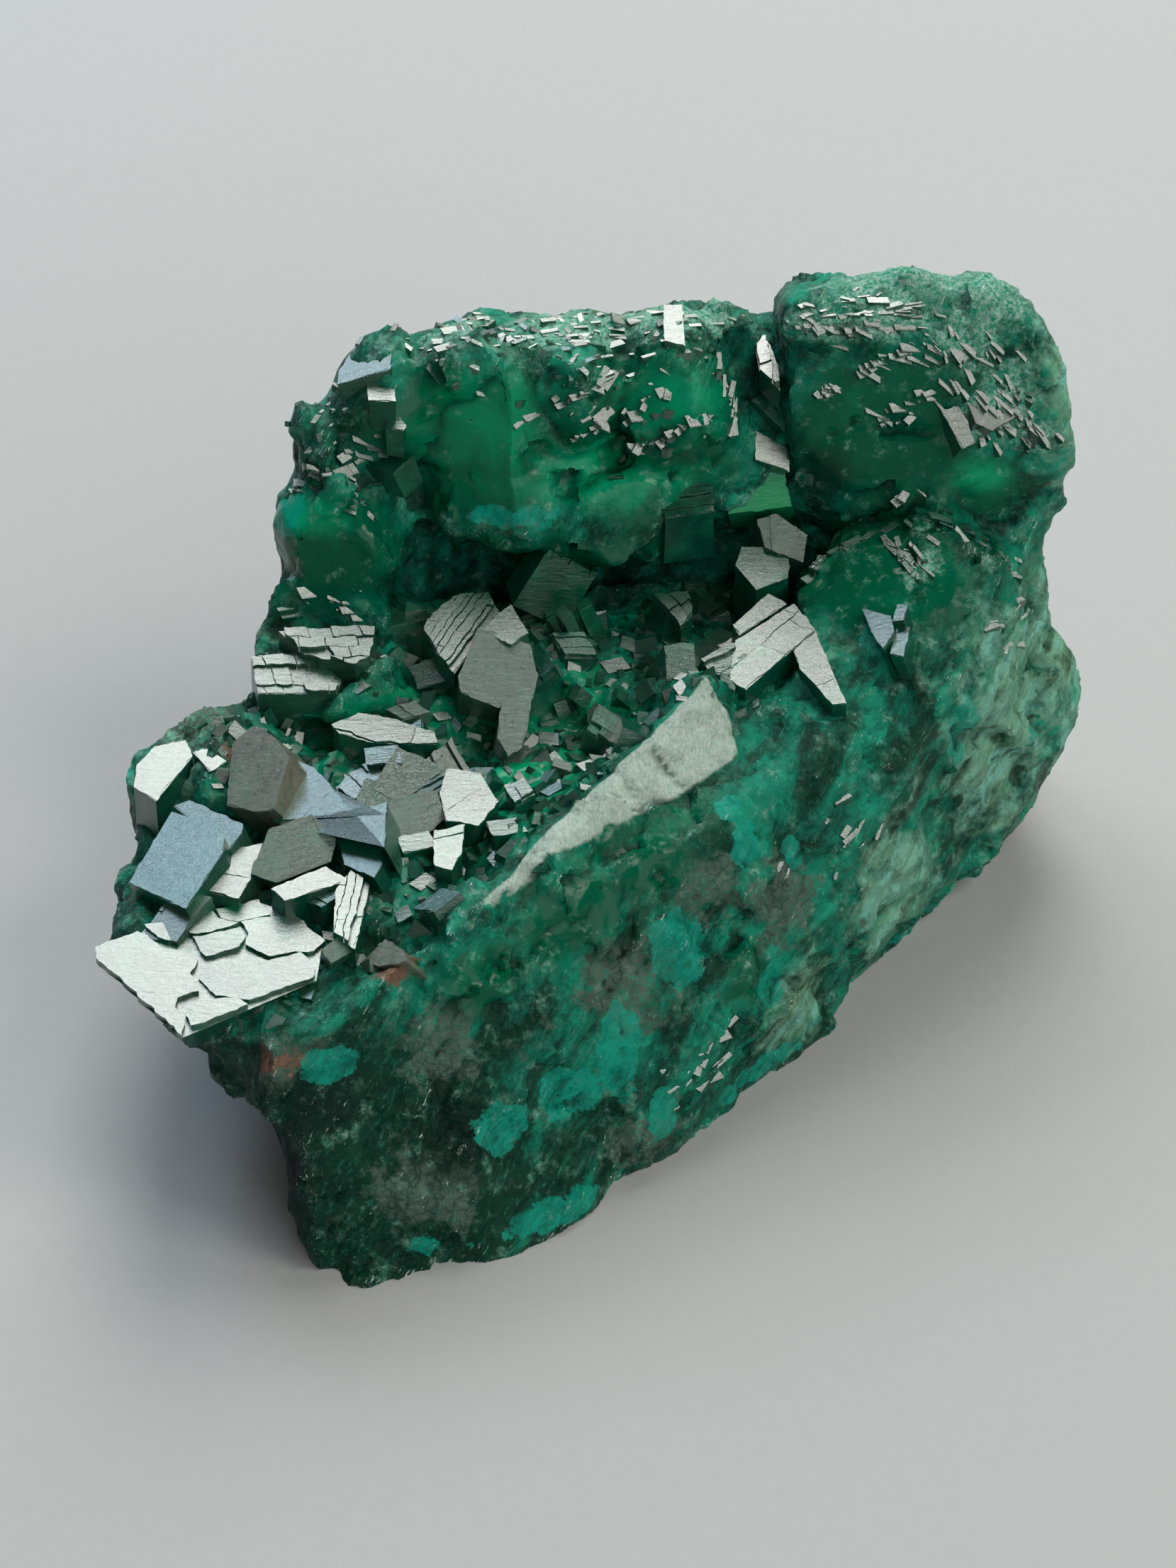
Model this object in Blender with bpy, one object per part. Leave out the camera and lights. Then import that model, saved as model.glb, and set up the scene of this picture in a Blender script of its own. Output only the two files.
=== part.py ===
"""A hand-sized chunk of massive dioptase with a druse of crystals on its ledge.

The stone grew as one piece, so it is one solid. Its rough mass is a set of overlapping
blocks and rounded lumps, fused by a voxel remesh, broken up with noise and thinned out,
then cut flat where it stands. Crystals with flat faces are joined to it with a Boolean union.
Lists of places are in millimetres: X to the right, Y away from the viewer, Z up.
"""
import math
import random

import bmesh
import bpy
from mathutils import Matrix, Vector, noise
from mathutils.bvhtree import BVHTree

MM = 0.001

# Resolution of the rough mass
VOXEL = 0.5
FINE_VOXEL = 0.35
MASS_TRIANGLES = 6200

# Broken surface: size of a feature and how far it moves the surface
WAVES = [(7.0, 0.5), (3.0, 0.25)]
CHIPS = [(6.0, 1.5), (3.0, 1.0)]

# Crystals
BLOCKY = (3.2, 1.05)  # depth below the flat top, and size at that depth
SHORT = (1.6, 0.9)
PLATY = (2.0, 0.72)
SMALL_CRYSTALS = 36
SMALL_LENGTH = (1.3, 2.8)
PARALLELOGRAM_ANGLE = math.radians(105)
SEED = 7

# Material
GREEN = (0.012, 0.115, 0.062, 1.0)
GLOSS_ROUGHNESS = 0.22
REFRACTION_INDEX = 1.67

# Ways a crystal's flat top can slope: how much it rises to -X and to -Y
FLAT = (0.0, -0.08)
FORWARD = (0.0, -0.2)
LEFT = (-0.32, -0.1)
STEEP_LEFT = (-0.65, -0.25)
FRONT = (0.1, -0.35)
STEEP_FRONT = (0.2, -0.75)

# Foot of the stone, a little under the cut at Z 0, and the slab that stands on it
FOOT = [
    (-9.7, -17.3, -1), (-5.6, -16.0, -1), (-1.4, -14.6, -1), (2.9, -10.0, -1), (7.2, -5.2, -1),
    (9.8, 0.5, -1), (11.5, 5.2, -1), (15.5, 9.8, -1), (18.4, 11.8, -1), (18.6, 18.5, -1),
    (10.0, 20.4, -1), (-3.0, 20.4, -1), (-10.5, 17.6, -1), (-13.0, 9.0, -1), (-12.5, -2.0, -1),
    (-12.0, -12.0, -1),
]
SLAB = FOOT + [
    (-12.2, -14.7, 3.0), (-13.2, -13.1, 5.0), (-12.9, -13.1, 9.8), (-14.0, -2.0, 10.2), (-14.5, 7.0, 11.0),
    (-12.5, 14.5, 11.5), (-5.2, -8.6, 11.6), (-1.6, -4.4, 12.2), (5.1, 3.4, 13.0), (10.1, 4.0, 13.3),
    (15.9, 5.1, 13.4), (20.8, 13.1, 12.5), (22.0, 12.4, 6.6), (21.7, 12.4, 4.5), (19.9, 12.2, 2.0),
    (20.0, 19.2, 13.0), (20.8, 17.0, 8.0),
]
RIDGE = [
    (-9.0, -11.0, 11.3), (-5.2, -8.5, 12.6), (-1.6, -4.2, 13.6), (5.1, 4.5, 15.2), (6.4, 1.9, 13.1),
    (1.7, -1.3, 12.6), (-3.6, -6.7, 11.8), (-7.0, -7.5, 11.0), (-3.0, -1.5, 11.8), (3.0, 6.6, 12.8),
    (6.5, 6.0, 13.2), (-8.0, -9.0, 9.0), (4.0, 2.0, 10.0),
]
TIP = [
    (-19.8, -5.0, 10.1), (-19.2, -7.2, 10.1), (-15.8, -11.4, 9.9), (-13.0, -13.0, 9.8), (-20.4, -1.6, 9.6),
    (-12.0, -2.0, 10.4), (-13.2, -13.0, 5.2), (-17.6, -6.0, 4.6), (-18.6, 1.5, 9.0), (-16.5, 1.0, 4.0),
    (-12.0, -5.0, 3.0), (-11.0, -12.0, 5.0),
]
LOBE = [
    (-20.6, 3.2, 11.1), (-20.5, 4.7, 11.6), (-18.3, 5.9, 12.4), (-15.1, 7.4, 12.7), (-13.0, 3.0, 12.0),
    (-15.5, -0.8, 11.2), (-19.7, 0.0, 9.8), (-17.6, 1.0, 4.6), (-17.0, 5.0, 4.6), (-12.5, 6.0, 4.0),
    (-12.5, 0.0, 4.0),
]
STEP = [
    (-14.6, 9.5, 13.8), (-14.7, 7.5, 13.4), (-11.0, 5.2, 12.8), (-8.6, 6.6, 13.4), (-9.0, 12.0, 14.2),
    (-13.6, 12.2, 15.6), (-12.6, 15.5, 16.5), (-9.0, 15.0, 14.5), (-14.0, 8.0, 8.0), (-9.0, 6.0, 8.0),
    (-9.0, 14.0, 8.0), (-12.8, 14.0, 8.0),
]
SHOULDER = [
    (8.6, 10.8, 15.5), (12.4, 12.4, 17.5), (14.4, 13.3, 17.8), (19.4, 15.0, 17.8), (20.6, 15.0, 16.4),
    (20.9, 13.2, 12.5), (17.1, 9.1, 15.1), (15.9, 5.3, 14.0), (11.9, 8.4, 14.6), (9.6, 5.0, 13.8),
    (9.0, 11.0, 10.0), (20.0, 15.0, 10.0), (16.0, 6.0, 9.0), (10.5, 5.5, 9.0),
]
WALL = [
    (-12.0, 15.4, 10.0), (8.6, 16.6, 10.0), (-10.8, 17.4, 21.8), (-9.6, 17.2, 23.2), (-5.4, 17.0, 24.9),
    (-1.0, 16.8, 25.0), (3.8, 17.0, 25.6), (7.4, 17.5, 24.6), (-9.6, 20.0, 20.5), (-4.0, 20.4, 22.8),
    (8.0, 20.9, 23.0), (-10.8, 18.0, 0.0), (8.5, 20.4, 0.0),
]
CORNER = [
    (8.5, 15.4, 26.2), (9.0, 14.7, 18.0), (11.5, 14.2, 16.6), (15.7, 14.5, 17.1), (20.2, 14.2, 17.6),
    (12.0, 15.3, 26.2), (15.4, 15.0, 24.4), (17.5, 14.6, 21.3), (8.6, 17.3, 26.6), (12.5, 17.5, 27.8),
    (17.0, 17.7, 27.4), (18.4, 17.4, 27.0), (19.2, 17.0, 26.2), (21.0, 15.9, 22.0), (21.4, 15.0, 20.4),
    (8.6, 20.4, 24.6), (12.5, 20.6, 25.6), (18.4, 20.0, 24.6), (19.2, 19.0, 1.0), (8.6, 20.4, 1.0),
    (20.6, 16.0, 12.0), (9.5, 17.0, 12.0),
]
BLOCKS = [SLAB, RIDGE, TIP, LOBE, STEP, SHOULDER, WALL, CORNER]

# Rounded lumps of the back wall, and flatter ones behind it: centre and three radii
LUMPS = [
    ((-10.9, 13.4, 16.6), (3.2, 3.4, 2.9)),
    ((-10.3, 15.4, 19.2), (2.8, 3.0, 3.4)),
    ((-8.7, 16.2, 21.1), (3.1, 3.0, 3.2)),
    ((-4.8, 15.7, 21.2), (2.9, 3.2, 4.3)),
    ((-3.6, 14.6, 17.6), (3.6, 3.2, 2.7)),
    ((0.6, 14.8, 17.0), (4.2, 3.2, 2.7)),
    ((-0.8, 16.3, 22.2), (3.0, 2.9, 3.2)),
    ((3.8, 16.3, 21.9), (2.8, 3.2, 3.7)),
    ((4.9, 16.8, 18.2), (3.0, 2.8, 3.0)),
    ((-5.0, 18.6, 8.5), (5.5, 2.8, 5.0)),
    ((4.5, 19.4, 5.5), (5.0, 2.0, 4.0)),
    ((13.5, 18.9, 15.5), (5.0, 2.4, 6.0)),
    ((1.5, 19.3, 16.5), (4.5, 2.0, 4.5)),
]

# Pits in the rough front: centre, radius and depth
PITS = [
    ((-3.0, -13.5, 4.5), 2.4, 1.1),
    ((8.5, 1.6, 9.6), 2.2, 0.9),
    ((3.0, -5.0, 6.5), 2.6, 0.6),
    ((-8.5, -14.5, 6.5), 2.4, 0.7),
    ((14.5, 5.0, 7.0), 2.0, 0.6),
]

# Smooth places, where the stone broke cleanly: centre and radius
CLEAN_BREAKS = [
    ((1.5, -0.5, 13.6), 7.0),
    ((-10.5, 11.0, 16.0), 4.0),
    ((12.5, 9.5, 16.0), 4.5),
    ((12.5, 14.6, 21.5), 6.5),
]

# Large crystals: corners of the flat top, height of its middle, its slope, and the form
CRYSTALS = [
    # The ledge's left end
    ([(-20.4, -8.1), (-18.7, -7.2), (-13.8, -5.4), (-12.3, -6.1), (-11.0, -7.8), (-11.2, -9.9),
      (-14.0, -11.2), (-16.6, -13.1), (-18.2, -11.2), (-20.3, -8.8)],
     11.0, FLAT, PLATY),
    ([(-19.3, -4.5), (-17.7, -0.9), (-15.7, -2.4), (-15.3, -3.2), (-15.3, -4.1), (-16.7, -6.9)],
     12.3, LEFT, BLOCKY),
    ([(-17.7, 0.0), (-17.0, 0.1), (-14.6, -2.1), (-14.6, -2.6), (-15.1, -3.4), (-16.2, -1.3)],
     12.2, LEFT, BLOCKY),
    ([(-15.7, -3.3), (-14.7, -2.9), (-13.6, -2.6), (-13.5, -3.3), (-14.2, -4.5), (-14.6, -5.9),
      (-15.9, -5.5)],
     11.9, FLAT, BLOCKY),
    ([(-13.4, -3.0), (-11.6, -2.3), (-10.6, -3.0), (-10.8, -3.8), (-13.0, -4.8), (-14.1, -4.6)],
     12.4, STEEP_FRONT, BLOCKY),
    ([(-13.2, -5.8), (-11.0, -4.5), (-10.0, -5.3), (-12.6, -6.5)],
     12.2, FLAT, BLOCKY),
    ([(-13.5, 0.6), (-12.8, 2.0), (-11.7, 1.0), (-8.5, -2.2), (-8.5, -4.7), (-11.3, -2.0), (-13.3, -1.7)],
     13.0, LEFT, BLOCKY),
    ([(-10.8, -1.9), (-8.7, -3.9), (-8.6, -5.0), (-8.9, -5.6), (-10.2, -4.4)],
     12.6, LEFT, BLOCKY),
    ([(-15.3, 2.8), (-14.4, 3.2), (-13.4, 2.0), (-12.7, 0.5), (-13.5, -0.3), (-13.3, -1.7), (-14.1, -1.4),
      (-15.4, -0.3)],
     13.2, STEEP_LEFT, BLOCKY),
    ([(-18.7, 3.1), (-17.4, 3.5), (-17.0, 2.5), (-17.7, 1.4), (-18.4, -0.2), (-19.4, 0.7), (-19.3, 2.0)],
     12.4, FLAT, BLOCKY),
    ([(-17.0, 2.6), (-16.3, 2.8), (-15.5, 2.0), (-16.2, 1.4)],
     12.6, FLAT, SHORT),
    ([(-9.9, -4.8), (-9.1, -5.5), (-9.6, -9.1), (-10.5, -8.4), (-10.5, -6.0)],
     12.2, FLAT, BLOCKY),
    ([(-11.0, -9.0), (-10.1, -8.2), (-9.7, -8.5), (-9.7, -8.9), (-10.6, -9.5)],
     11.6, FRONT, BLOCKY),
    # The middle and the back of the ledge
    ([(-6.0, 1.0), (-4.6, 0.8), (-3.8, -1.0), (-4.6, -2.4), (-6.0, -2.1), (-6.3, -0.4)],
     12.9, FLAT, BLOCKY),
    ([(-6.5, -2.8), (-5.2, -2.4), (-5.3, -4.0), (-5.7, -5.0), (-6.4, -4.8)],
     12.7, FLAT, BLOCKY),
    ([(-8.4, -1.2), (-6.4, -0.6), (-6.1, -1.6), (-6.7, -2.1), (-8.2, -2.5)],
     12.6, STEEP_FRONT, BLOCKY),
    ([(-11.0, 4.0), (-9.9, 4.7), (-8.4, 4.4), (-6.6, 3.5), (-6.5, 2.8), (-7.9, 2.8), (-9.3, 2.9),
      (-10.7, 3.5)],
     13.0, FLAT, BLOCKY),
    ([(-13.5, 8.3), (-9.3, 8.4), (-9.5, 6.7), (-10.1, 6.3), (-12.4, 7.0)],
     14.8, FORWARD, BLOCKY),
    ([(-14.7, 7.4), (-12.3, 7.6), (-10.7, 6.2), (-10.9, 5.4), (-14.3, 5.4)],
     14.0, FORWARD, BLOCKY),
    ([(-7.2, 8.8), (-6.8, 9.7), (-5.9, 10.6), (-4.4, 10.8), (-3.9, 9.9), (-4.9, 8.5), (-5.3, 7.5),
      (-5.8, 6.4), (-6.5, 7.3)],
     14.6, FORWARD, BLOCKY),
    ([(-4.7, 8.1), (-3.9, 9.2), (-3.4, 9.7), (-2.6, 8.1), (-3.3, 7.5)],
     14.9, FORWARD, BLOCKY),
    ([(-4.8, 8.2), (-3.3, 7.9), (-2.5, 7.7), (-2.2, 6.4), (-2.4, 5.4), (-3.9, 4.9), (-5.5, 5.4), (-5.6, 6.1)],
     14.0, FRONT, BLOCKY),
    ([(-3.7, 4.4), (-2.4, 4.8), (-2.6, 3.3), (-2.9, 2.5), (-3.4, 2.1), (-3.9, 2.8)],
     13.4, FRONT, BLOCKY),
    ([(-1.5, 9.9), (-1.1, 10.4), (-0.7, 9.7), (-1.1, 9.3)],
     14.6, LEFT, BLOCKY),
    ([(-0.6, 10.4), (0.0, 10.7), (0.2, 10.1), (-0.4, 9.9)],
     14.7, LEFT, BLOCKY),
    # The ledge's right end and the shoulder
    ([(7.9, 10.1), (8.7, 9.5), (6.6, 7.7), (6.3, 8.3)],
     15.2, FORWARD, BLOCKY),
    ([(6.4, 7.2), (9.0, 9.3), (9.9, 7.8), (8.8, 6.8), (7.3, 5.5), (6.8, 4.5), (6.1, 5.1)],
     15.0, FORWARD, BLOCKY),
    ([(9.9, 7.7), (10.3, 6.0), (11.1, 3.7), (10.5, 3.7), (9.2, 5.6), (8.9, 6.6)],
     14.8, FORWARD, BLOCKY),
    ([(6.8, 13.0), (7.9, 12.9), (8.9, 12.4), (8.8, 11.2), (8.0, 10.9), (7.4, 10.5), (6.5, 11.9)],
     15.6, FORWARD, BLOCKY),
    ([(7.5, 13.8), (8.4, 14.1), (9.7, 13.3), (9.5, 12.1), (9.0, 12.3), (7.8, 12.6)],
     16.2, FRONT, BLOCKY),
    ([(2.9, 11.1), (4.4, 11.4), (4.6, 10.2), (4.1, 9.4)],
     14.5, FORWARD, BLOCKY),
    ([(11.9, 8.5), (13.1, 7.6), (13.2, 6.6), (12.7, 5.7), (12.2, 7.1)],
     16.0, LEFT, BLOCKY),
    ([(13.4, 8.1), (13.8, 7.8), (13.6, 7.0), (13.2, 7.1)],
     16.4, LEFT, SHORT),
    ([(13.4, 7.3), (13.9, 7.0), (13.5, 5.3), (13.0, 5.6)],
     15.8, LEFT, SHORT),
    # Under the wall, in its notch and on its crest
    ([(3.0, 12.9), (3.7, 13.6), (5.5, 13.8), (5.5, 12.3), (3.4, 11.9)],
     18.6, FORWARD, BLOCKY),
    ([(6.2, 14.1), (7.4, 15.4), (8.7, 15.3), (9.0, 14.1)],
     17.6, STEEP_FRONT, BLOCKY),
    ([(7.3, 18.0), (7.8, 18.2), (8.3, 16.5), (8.4, 15.0), (7.5, 16.2)],
     23.4, FORWARD, SHORT),
    ([(7.2, 16.5), (7.9, 17.0), (8.4, 16.6), (8.7, 15.7)],
     20.6, FORWARD, SHORT),
    ([(7.4, 15.9), (8.9, 15.6), (8.9, 14.8), (7.4, 14.8)],
     19.2, FORWARD, SHORT),
    ([(3.3, 17.4), (4.1, 17.4), (4.2, 14.6), (3.3, 14.9)],
     25.6, FLAT, SHORT),
    ([(-9.7, 15.0), (-8.5, 14.8), (-8.3, 13.3), (-9.5, 13.4)],
     23.0, FLAT, SHORT),
    ([(-8.8, 13.0), (-8.6, 13.8), (-8.3, 13.9), (-7.9, 13.2), (-8.0, 12.8)],
     22.3, FLAT, SHORT),
    ([(-10.9, 14.4), (-10.8, 15.3), (-9.9, 17.2), (-9.1, 17.1), (-8.5, 16.5), (-8.6, 14.5), (-9.6, 15.2)],
     23.4, LEFT, SHORT),
    ([(-9.8, 13.5), (-9.0, 13.8), (-8.0, 13.7), (-7.6, 13.2), (-8.5, 12.4)],
     20.3, LEFT, SHORT),
    ([(15.4, 14.5), (16.2, 14.7), (16.9, 13.5), (16.3, 13.2)],
     21.6, STEEP_FRONT, SHORT),
    ([(16.5, 14.9), (17.1, 15.2), (18.8, 14.6), (17.6, 13.9), (16.9, 14.1)],
     22.0, STEEP_FRONT, SHORT),
    # Brown ones along the ridge
    ([(-9.2, -8.7), (-8.4, -8.2), (-7.6, -9.2), (-7.4, -9.9), (-8.6, -9.4)],
     11.4, STEEP_LEFT, SHORT),
    ([(-5.9, -6.9), (-4.9, -6.7), (-4.8, -7.2), (-5.7, -7.4)],
     12.0, STEEP_LEFT, SHORT),
]

# The part of the ledge, seen from above, where small crystals grow
DRUSE = [
    (-16.5, -11.0), (-12.4, -12.0), (-5.4, -7.6), (-2.0, -3.6), (4.6, 5.2), (9.0, 5.0), (8.6, 12.0),
    (6.5, 14.0), (-7.5, 13.0), (-13.5, 8.0), (-18.5, 4.0), (-18.0, -4.0),
]


def clear_scene():
    for obj in list(bpy.data.objects):
        bpy.data.objects.remove(obj)


def object_from(name, bm):
    mesh = bpy.data.meshes.new(name)
    bm.to_mesh(mesh)
    bm.free()
    obj = bpy.data.objects.new(name, mesh)
    bpy.context.scene.collection.objects.link(obj)
    return obj


def settle(obj):
    """Replaces the object's mesh with the one its modifiers give."""
    graph = bpy.context.evaluated_depsgraph_get()
    made = bpy.data.meshes.new_from_object(obj.evaluated_get(graph))
    obj.modifiers.clear()
    obj.data = made


def add_block(bm, corners):
    """A broken block: the convex hull of its corners."""
    verts = [bm.verts.new(Vector(corner) * MM) for corner in corners]
    bmesh.ops.convex_hull(bm, input=verts)
    spare = [v for v in verts if not v.link_faces]
    bmesh.ops.delete(bm, geom=spare, context="VERTS")


def add_lump(bm, centre, radii):
    """A rounded lump: an icosphere stretched to three radii."""
    place = Matrix.Translation(Vector(centre) * MM) @ Matrix.Diagonal((*(Vector(radii) * MM), 1))
    bmesh.ops.create_icosphere(bm, subdivisions=3, radius=1, matrix=place)


def rough_mass():
    bm = bmesh.new()
    for corners in BLOCKS:
        add_block(bm, corners)
    for centre, radii in LUMPS:
        add_lump(bm, centre, radii)
    return object_from("dioptase", bm)


def fuse(stone, voxel, smoothing_rounds):
    """Makes one even skin round everything that overlaps."""
    remesh = stone.modifiers.new("fuse", "REMESH")
    remesh.mode = "VOXEL"
    remesh.voxel_size = voxel * MM
    smooth = stone.modifiers.new("smooth", "SMOOTH")
    smooth.iterations = smoothing_rounds
    settle(stone)


def chip_height(place, size):
    """Height of a stone broken into flat chips: each cell of the pattern leans its own way."""
    scaled = place / size
    middle = noise.voronoi(scaled)[1][0]
    lean = noise.cell_vector(middle * 9.7) - Vector((0.5, 0.5, 0.5))
    return (scaled - middle).dot(lean)


def pit_depth(place):
    """How far the nearest pit pulls the surface in, in millimetres."""
    deepest = 0.0
    for centre, radius, depth in PITS:
        reach = (place - Vector(centre)).length / radius
        if reach < 1:
            deepest = max(deepest, depth * (1 - reach * reach) ** 2)
    return deepest


def roughness_at(place):
    """1 on rough stone, down to 0.25 in the middle of a clean break."""
    least = 1.0
    for centre, radius in CLEAN_BREAKS:
        reach = (place - Vector(centre)).length / radius
        least = min(least, max(0.25, reach ** 2))
    return least


def break_up(stone):
    """Moves each vertex along its normal by waves, chips and pits."""
    bm = bmesh.new()
    bm.from_mesh(stone.data)
    bm.normal_update()
    moves = []
    for vert in bm.verts:
        place = vert.co / MM
        waves = sum(noise.noise(place / size) * swing for size, swing in WAVES)
        chips = sum(chip_height(place, size) * swing for size, swing in CHIPS)
        height = waves + chips * roughness_at(place) - pit_depth(place)
        moves.append(vert.normal * height * MM)
    for vert, move in zip(bm.verts, moves):
        vert.co += move
    bm.to_mesh(stone.data)
    bm.free()


def thin_out(stone):
    decimate = stone.modifiers.new("thin", "DECIMATE")
    decimate.ratio = MASS_TRIANGLES / (2 * len(stone.data.polygons))
    decimate.use_collapse_triangulate = True
    settle(stone)


def cut_foot(stone):
    """Cuts the stone flat at Z 0, where it stands."""
    bm = bmesh.new()
    bm.from_mesh(stone.data)
    everything = bm.verts[:] + bm.edges[:] + bm.faces[:]
    bmesh.ops.bisect_plane(
        bm, geom=everything, dist=1e-6, plane_co=(0, 0, 0), plane_no=(0, 0, -1), clear_outer=True
    )
    rim = [edge for edge in bm.edges if edge.is_boundary]
    bmesh.ops.holes_fill(bm, edges=rim, sides=0)
    bmesh.ops.triangulate(bm, faces=[face for face in bm.faces if len(face.verts) > 3])
    bmesh.ops.recalc_face_normals(bm, faces=bm.faces)
    bm.to_mesh(stone.data)
    bm.free()


def add_crystal(number, corners, height, slope, form):
    """A crystal with a flat top, standing square to the way its top slopes."""
    depth, foot_size = form
    middle = sum((Vector(corner) for corner in corners), Vector((0, 0))) / len(corners)
    up = Vector((slope[0], slope[1], 1)).normalized()
    bm = bmesh.new()
    for x, y in corners:
        out = Vector((x, y)) - middle
        top = Vector((x, y, height - out.dot(Vector(slope))))
        foot = top + out.to_3d() * (foot_size - 1) - up * depth
        bm.verts.new(top * MM)
        bm.verts.new(foot * MM)
    bmesh.ops.convex_hull(bm, input=bm.verts)
    bmesh.ops.dissolve_limit(bm, angle_limit=0.001, verts=bm.verts, edges=bm.edges)
    crystal = object_from(f"crystal_{number}", bm)
    crystal.hide_render = True
    crystal.display_type = "WIRE"
    return crystal


def parallelogram(x, y, length, width, turn):
    """Corners of a slanting four-sided crystal top, with its middle at x, y."""
    slant = turn + PARALLELOGRAM_ANGLE
    along = Vector((math.cos(turn), math.sin(turn))) * length / 2
    across = Vector((math.cos(slant), math.sin(slant))) * width / 2
    middle = Vector((x, y))
    near, far = middle - across, middle + across
    return [far + along, far - along, near - along, near + along]


def inside(corners, x, y):
    """Whether a place seen from above lies within the outline."""
    within = False
    for (ax, ay), (bx, by) in zip(corners, corners[1:] + corners[:1]):
        if (ay > y) != (by > y) and x < ax + (bx - ax) * (y - ay) / (by - ay):
            within = not within
    return within


def small_crystals(stone, first):
    """Small crystals scattered over the ledge, each standing a little proud of the stone there."""
    chance = random.Random(SEED)
    bm = bmesh.new()
    bm.from_mesh(stone.data)
    surface = BVHTree.FromBMesh(bm)
    bm.free()
    made = []
    while len(made) < SMALL_CRYSTALS:
        x, y = chance.uniform(-19, 10), chance.uniform(-12, 14)
        if not inside(DRUSE, x, y) or any(inside(row[0], x, y) for row in CRYSTALS):
            continue
        ground = surface.ray_cast(Vector((x, y, 15.5)) * MM, Vector((0, 0, -1)))[0]
        if ground is None:
            continue
        length = chance.uniform(*SMALL_LENGTH)
        corners = parallelogram(x, y, length, length * chance.uniform(0.6, 1), chance.uniform(0, math.pi))
        slope = (chance.gauss(0, 0.3), chance.gauss(0, 0.3))
        height = ground.z / MM + chance.uniform(0.4, 1.1)
        made.append(add_crystal(first + len(made), corners, height, slope, BLOCKY))
    return made


def grow_crystals(stone):
    """Joins every crystal to the stone in one solid."""
    crystals = [
        add_crystal(number, corners, height, slope, form)
        for number, (corners, height, slope, form) in enumerate(CRYSTALS)
    ]
    crystals += small_crystals(stone, len(crystals))
    group = bpy.data.collections.new("crystals")
    for crystal in crystals:
        group.objects.link(crystal)
    union = stone.modifiers.new("crystals", "BOOLEAN")
    union.operation = "UNION"
    union.operand_type = "COLLECTION"
    union.collection = group
    settle(stone)
    for crystal in crystals:
        bpy.data.objects.remove(crystal)
    bpy.data.collections.remove(group)


def close_up(stone):
    """Keeps only the outer skin, so that no gap stays sealed inside the stone."""
    bm = bmesh.new()
    bm.from_mesh(stone.data)
    left = set(bm.verts)
    skins = []
    while left:
        skin = {left.pop()}
        edge_of_skin = list(skin)
        while edge_of_skin:
            vert = edge_of_skin.pop()
            fresh = {edge.other_vert(vert) for edge in vert.link_edges} & left
            left -= fresh
            skin |= fresh
            edge_of_skin += fresh
        skins.append(skin)
    skins.sort(key=len)
    spare = [vert for skin in skins[:-1] for vert in skin]
    bmesh.ops.delete(bm, geom=spare, context="VERTS")
    bm.to_mesh(stone.data)
    bm.free()


def stand_at_origin(stone):
    """Puts the origin under the middle of the stone, on the plane it stands on."""
    places = [vert.co for vert in stone.data.vertices]
    middle = Vector((min(p[i] for p in places) + max(p[i] for p in places) for i in range(2))) / 2
    stone.data.transform(Matrix.Translation((-middle.x, -middle.y, 0)))


def colour(stone):
    green = bpy.data.materials.new("dioptase")
    green.use_nodes = True
    shader = green.node_tree.nodes["Principled BSDF"]
    shader.inputs["Base Color"].default_value = GREEN
    shader.inputs["Roughness"].default_value = GLOSS_ROUGHNESS
    shader.inputs["IOR"].default_value = REFRACTION_INDEX
    stone.data.materials.clear()
    stone.data.materials.append(green)
    stone.data.set_sharp_from_angle(angle=math.radians(25))


def main():
    clear_scene()
    stone = rough_mass()
    fuse(stone, VOXEL, 2)
    break_up(stone)
    fuse(stone, FINE_VOXEL, 1)
    thin_out(stone)
    cut_foot(stone)
    grow_crystals(stone)
    close_up(stone)
    stand_at_origin(stone)
    colour(stone)


main()
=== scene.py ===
"""Looks of a hand-sized chunk of massive dioptase with a druse of crystals on its ledge.

Four pieces stand for the stone: the broken mass, the large crystals with their stepped tops,
the small crystals of the druse, and the bright chips along the crest of the back wall.
Lists of places are in millimetres: X to the right, Y away from the viewer, Z up.
They are measured from a point that lies LIST_ORIGIN away from the part's own origin.
"""
import math
import random

import bmesh
import bpy
import numpy as np
from bpy.props import FloatProperty, FloatVectorProperty, IntProperty, PointerProperty
from mathutils import Matrix, Vector, geometry, noise
from mathutils.bvhtree import BVHTree


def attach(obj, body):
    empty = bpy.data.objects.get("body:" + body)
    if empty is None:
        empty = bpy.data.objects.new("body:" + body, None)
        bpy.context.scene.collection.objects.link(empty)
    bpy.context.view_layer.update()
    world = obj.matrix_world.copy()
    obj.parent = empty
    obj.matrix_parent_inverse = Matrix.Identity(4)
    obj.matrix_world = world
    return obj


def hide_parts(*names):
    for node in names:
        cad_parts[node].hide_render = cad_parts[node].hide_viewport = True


bl_info = {
    "name": "Dioptase Specimen",
    "version": (1, 0, 0),
    "blender": (4, 5, 0),
    "location": "View3D > Sidebar > Dioptase",
    "description": "Builds a rough chunk of dioptase with a druse of crystals",
    "category": "Object",
}

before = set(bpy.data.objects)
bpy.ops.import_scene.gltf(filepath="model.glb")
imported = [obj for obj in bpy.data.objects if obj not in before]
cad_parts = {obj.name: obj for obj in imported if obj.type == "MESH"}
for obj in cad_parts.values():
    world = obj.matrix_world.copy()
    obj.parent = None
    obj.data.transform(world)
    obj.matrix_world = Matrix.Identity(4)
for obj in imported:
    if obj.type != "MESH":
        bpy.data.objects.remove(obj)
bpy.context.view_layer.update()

MM = 0.001
LIST_ORIGIN = Vector((-0.896, -2.529, 0.0))

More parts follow.
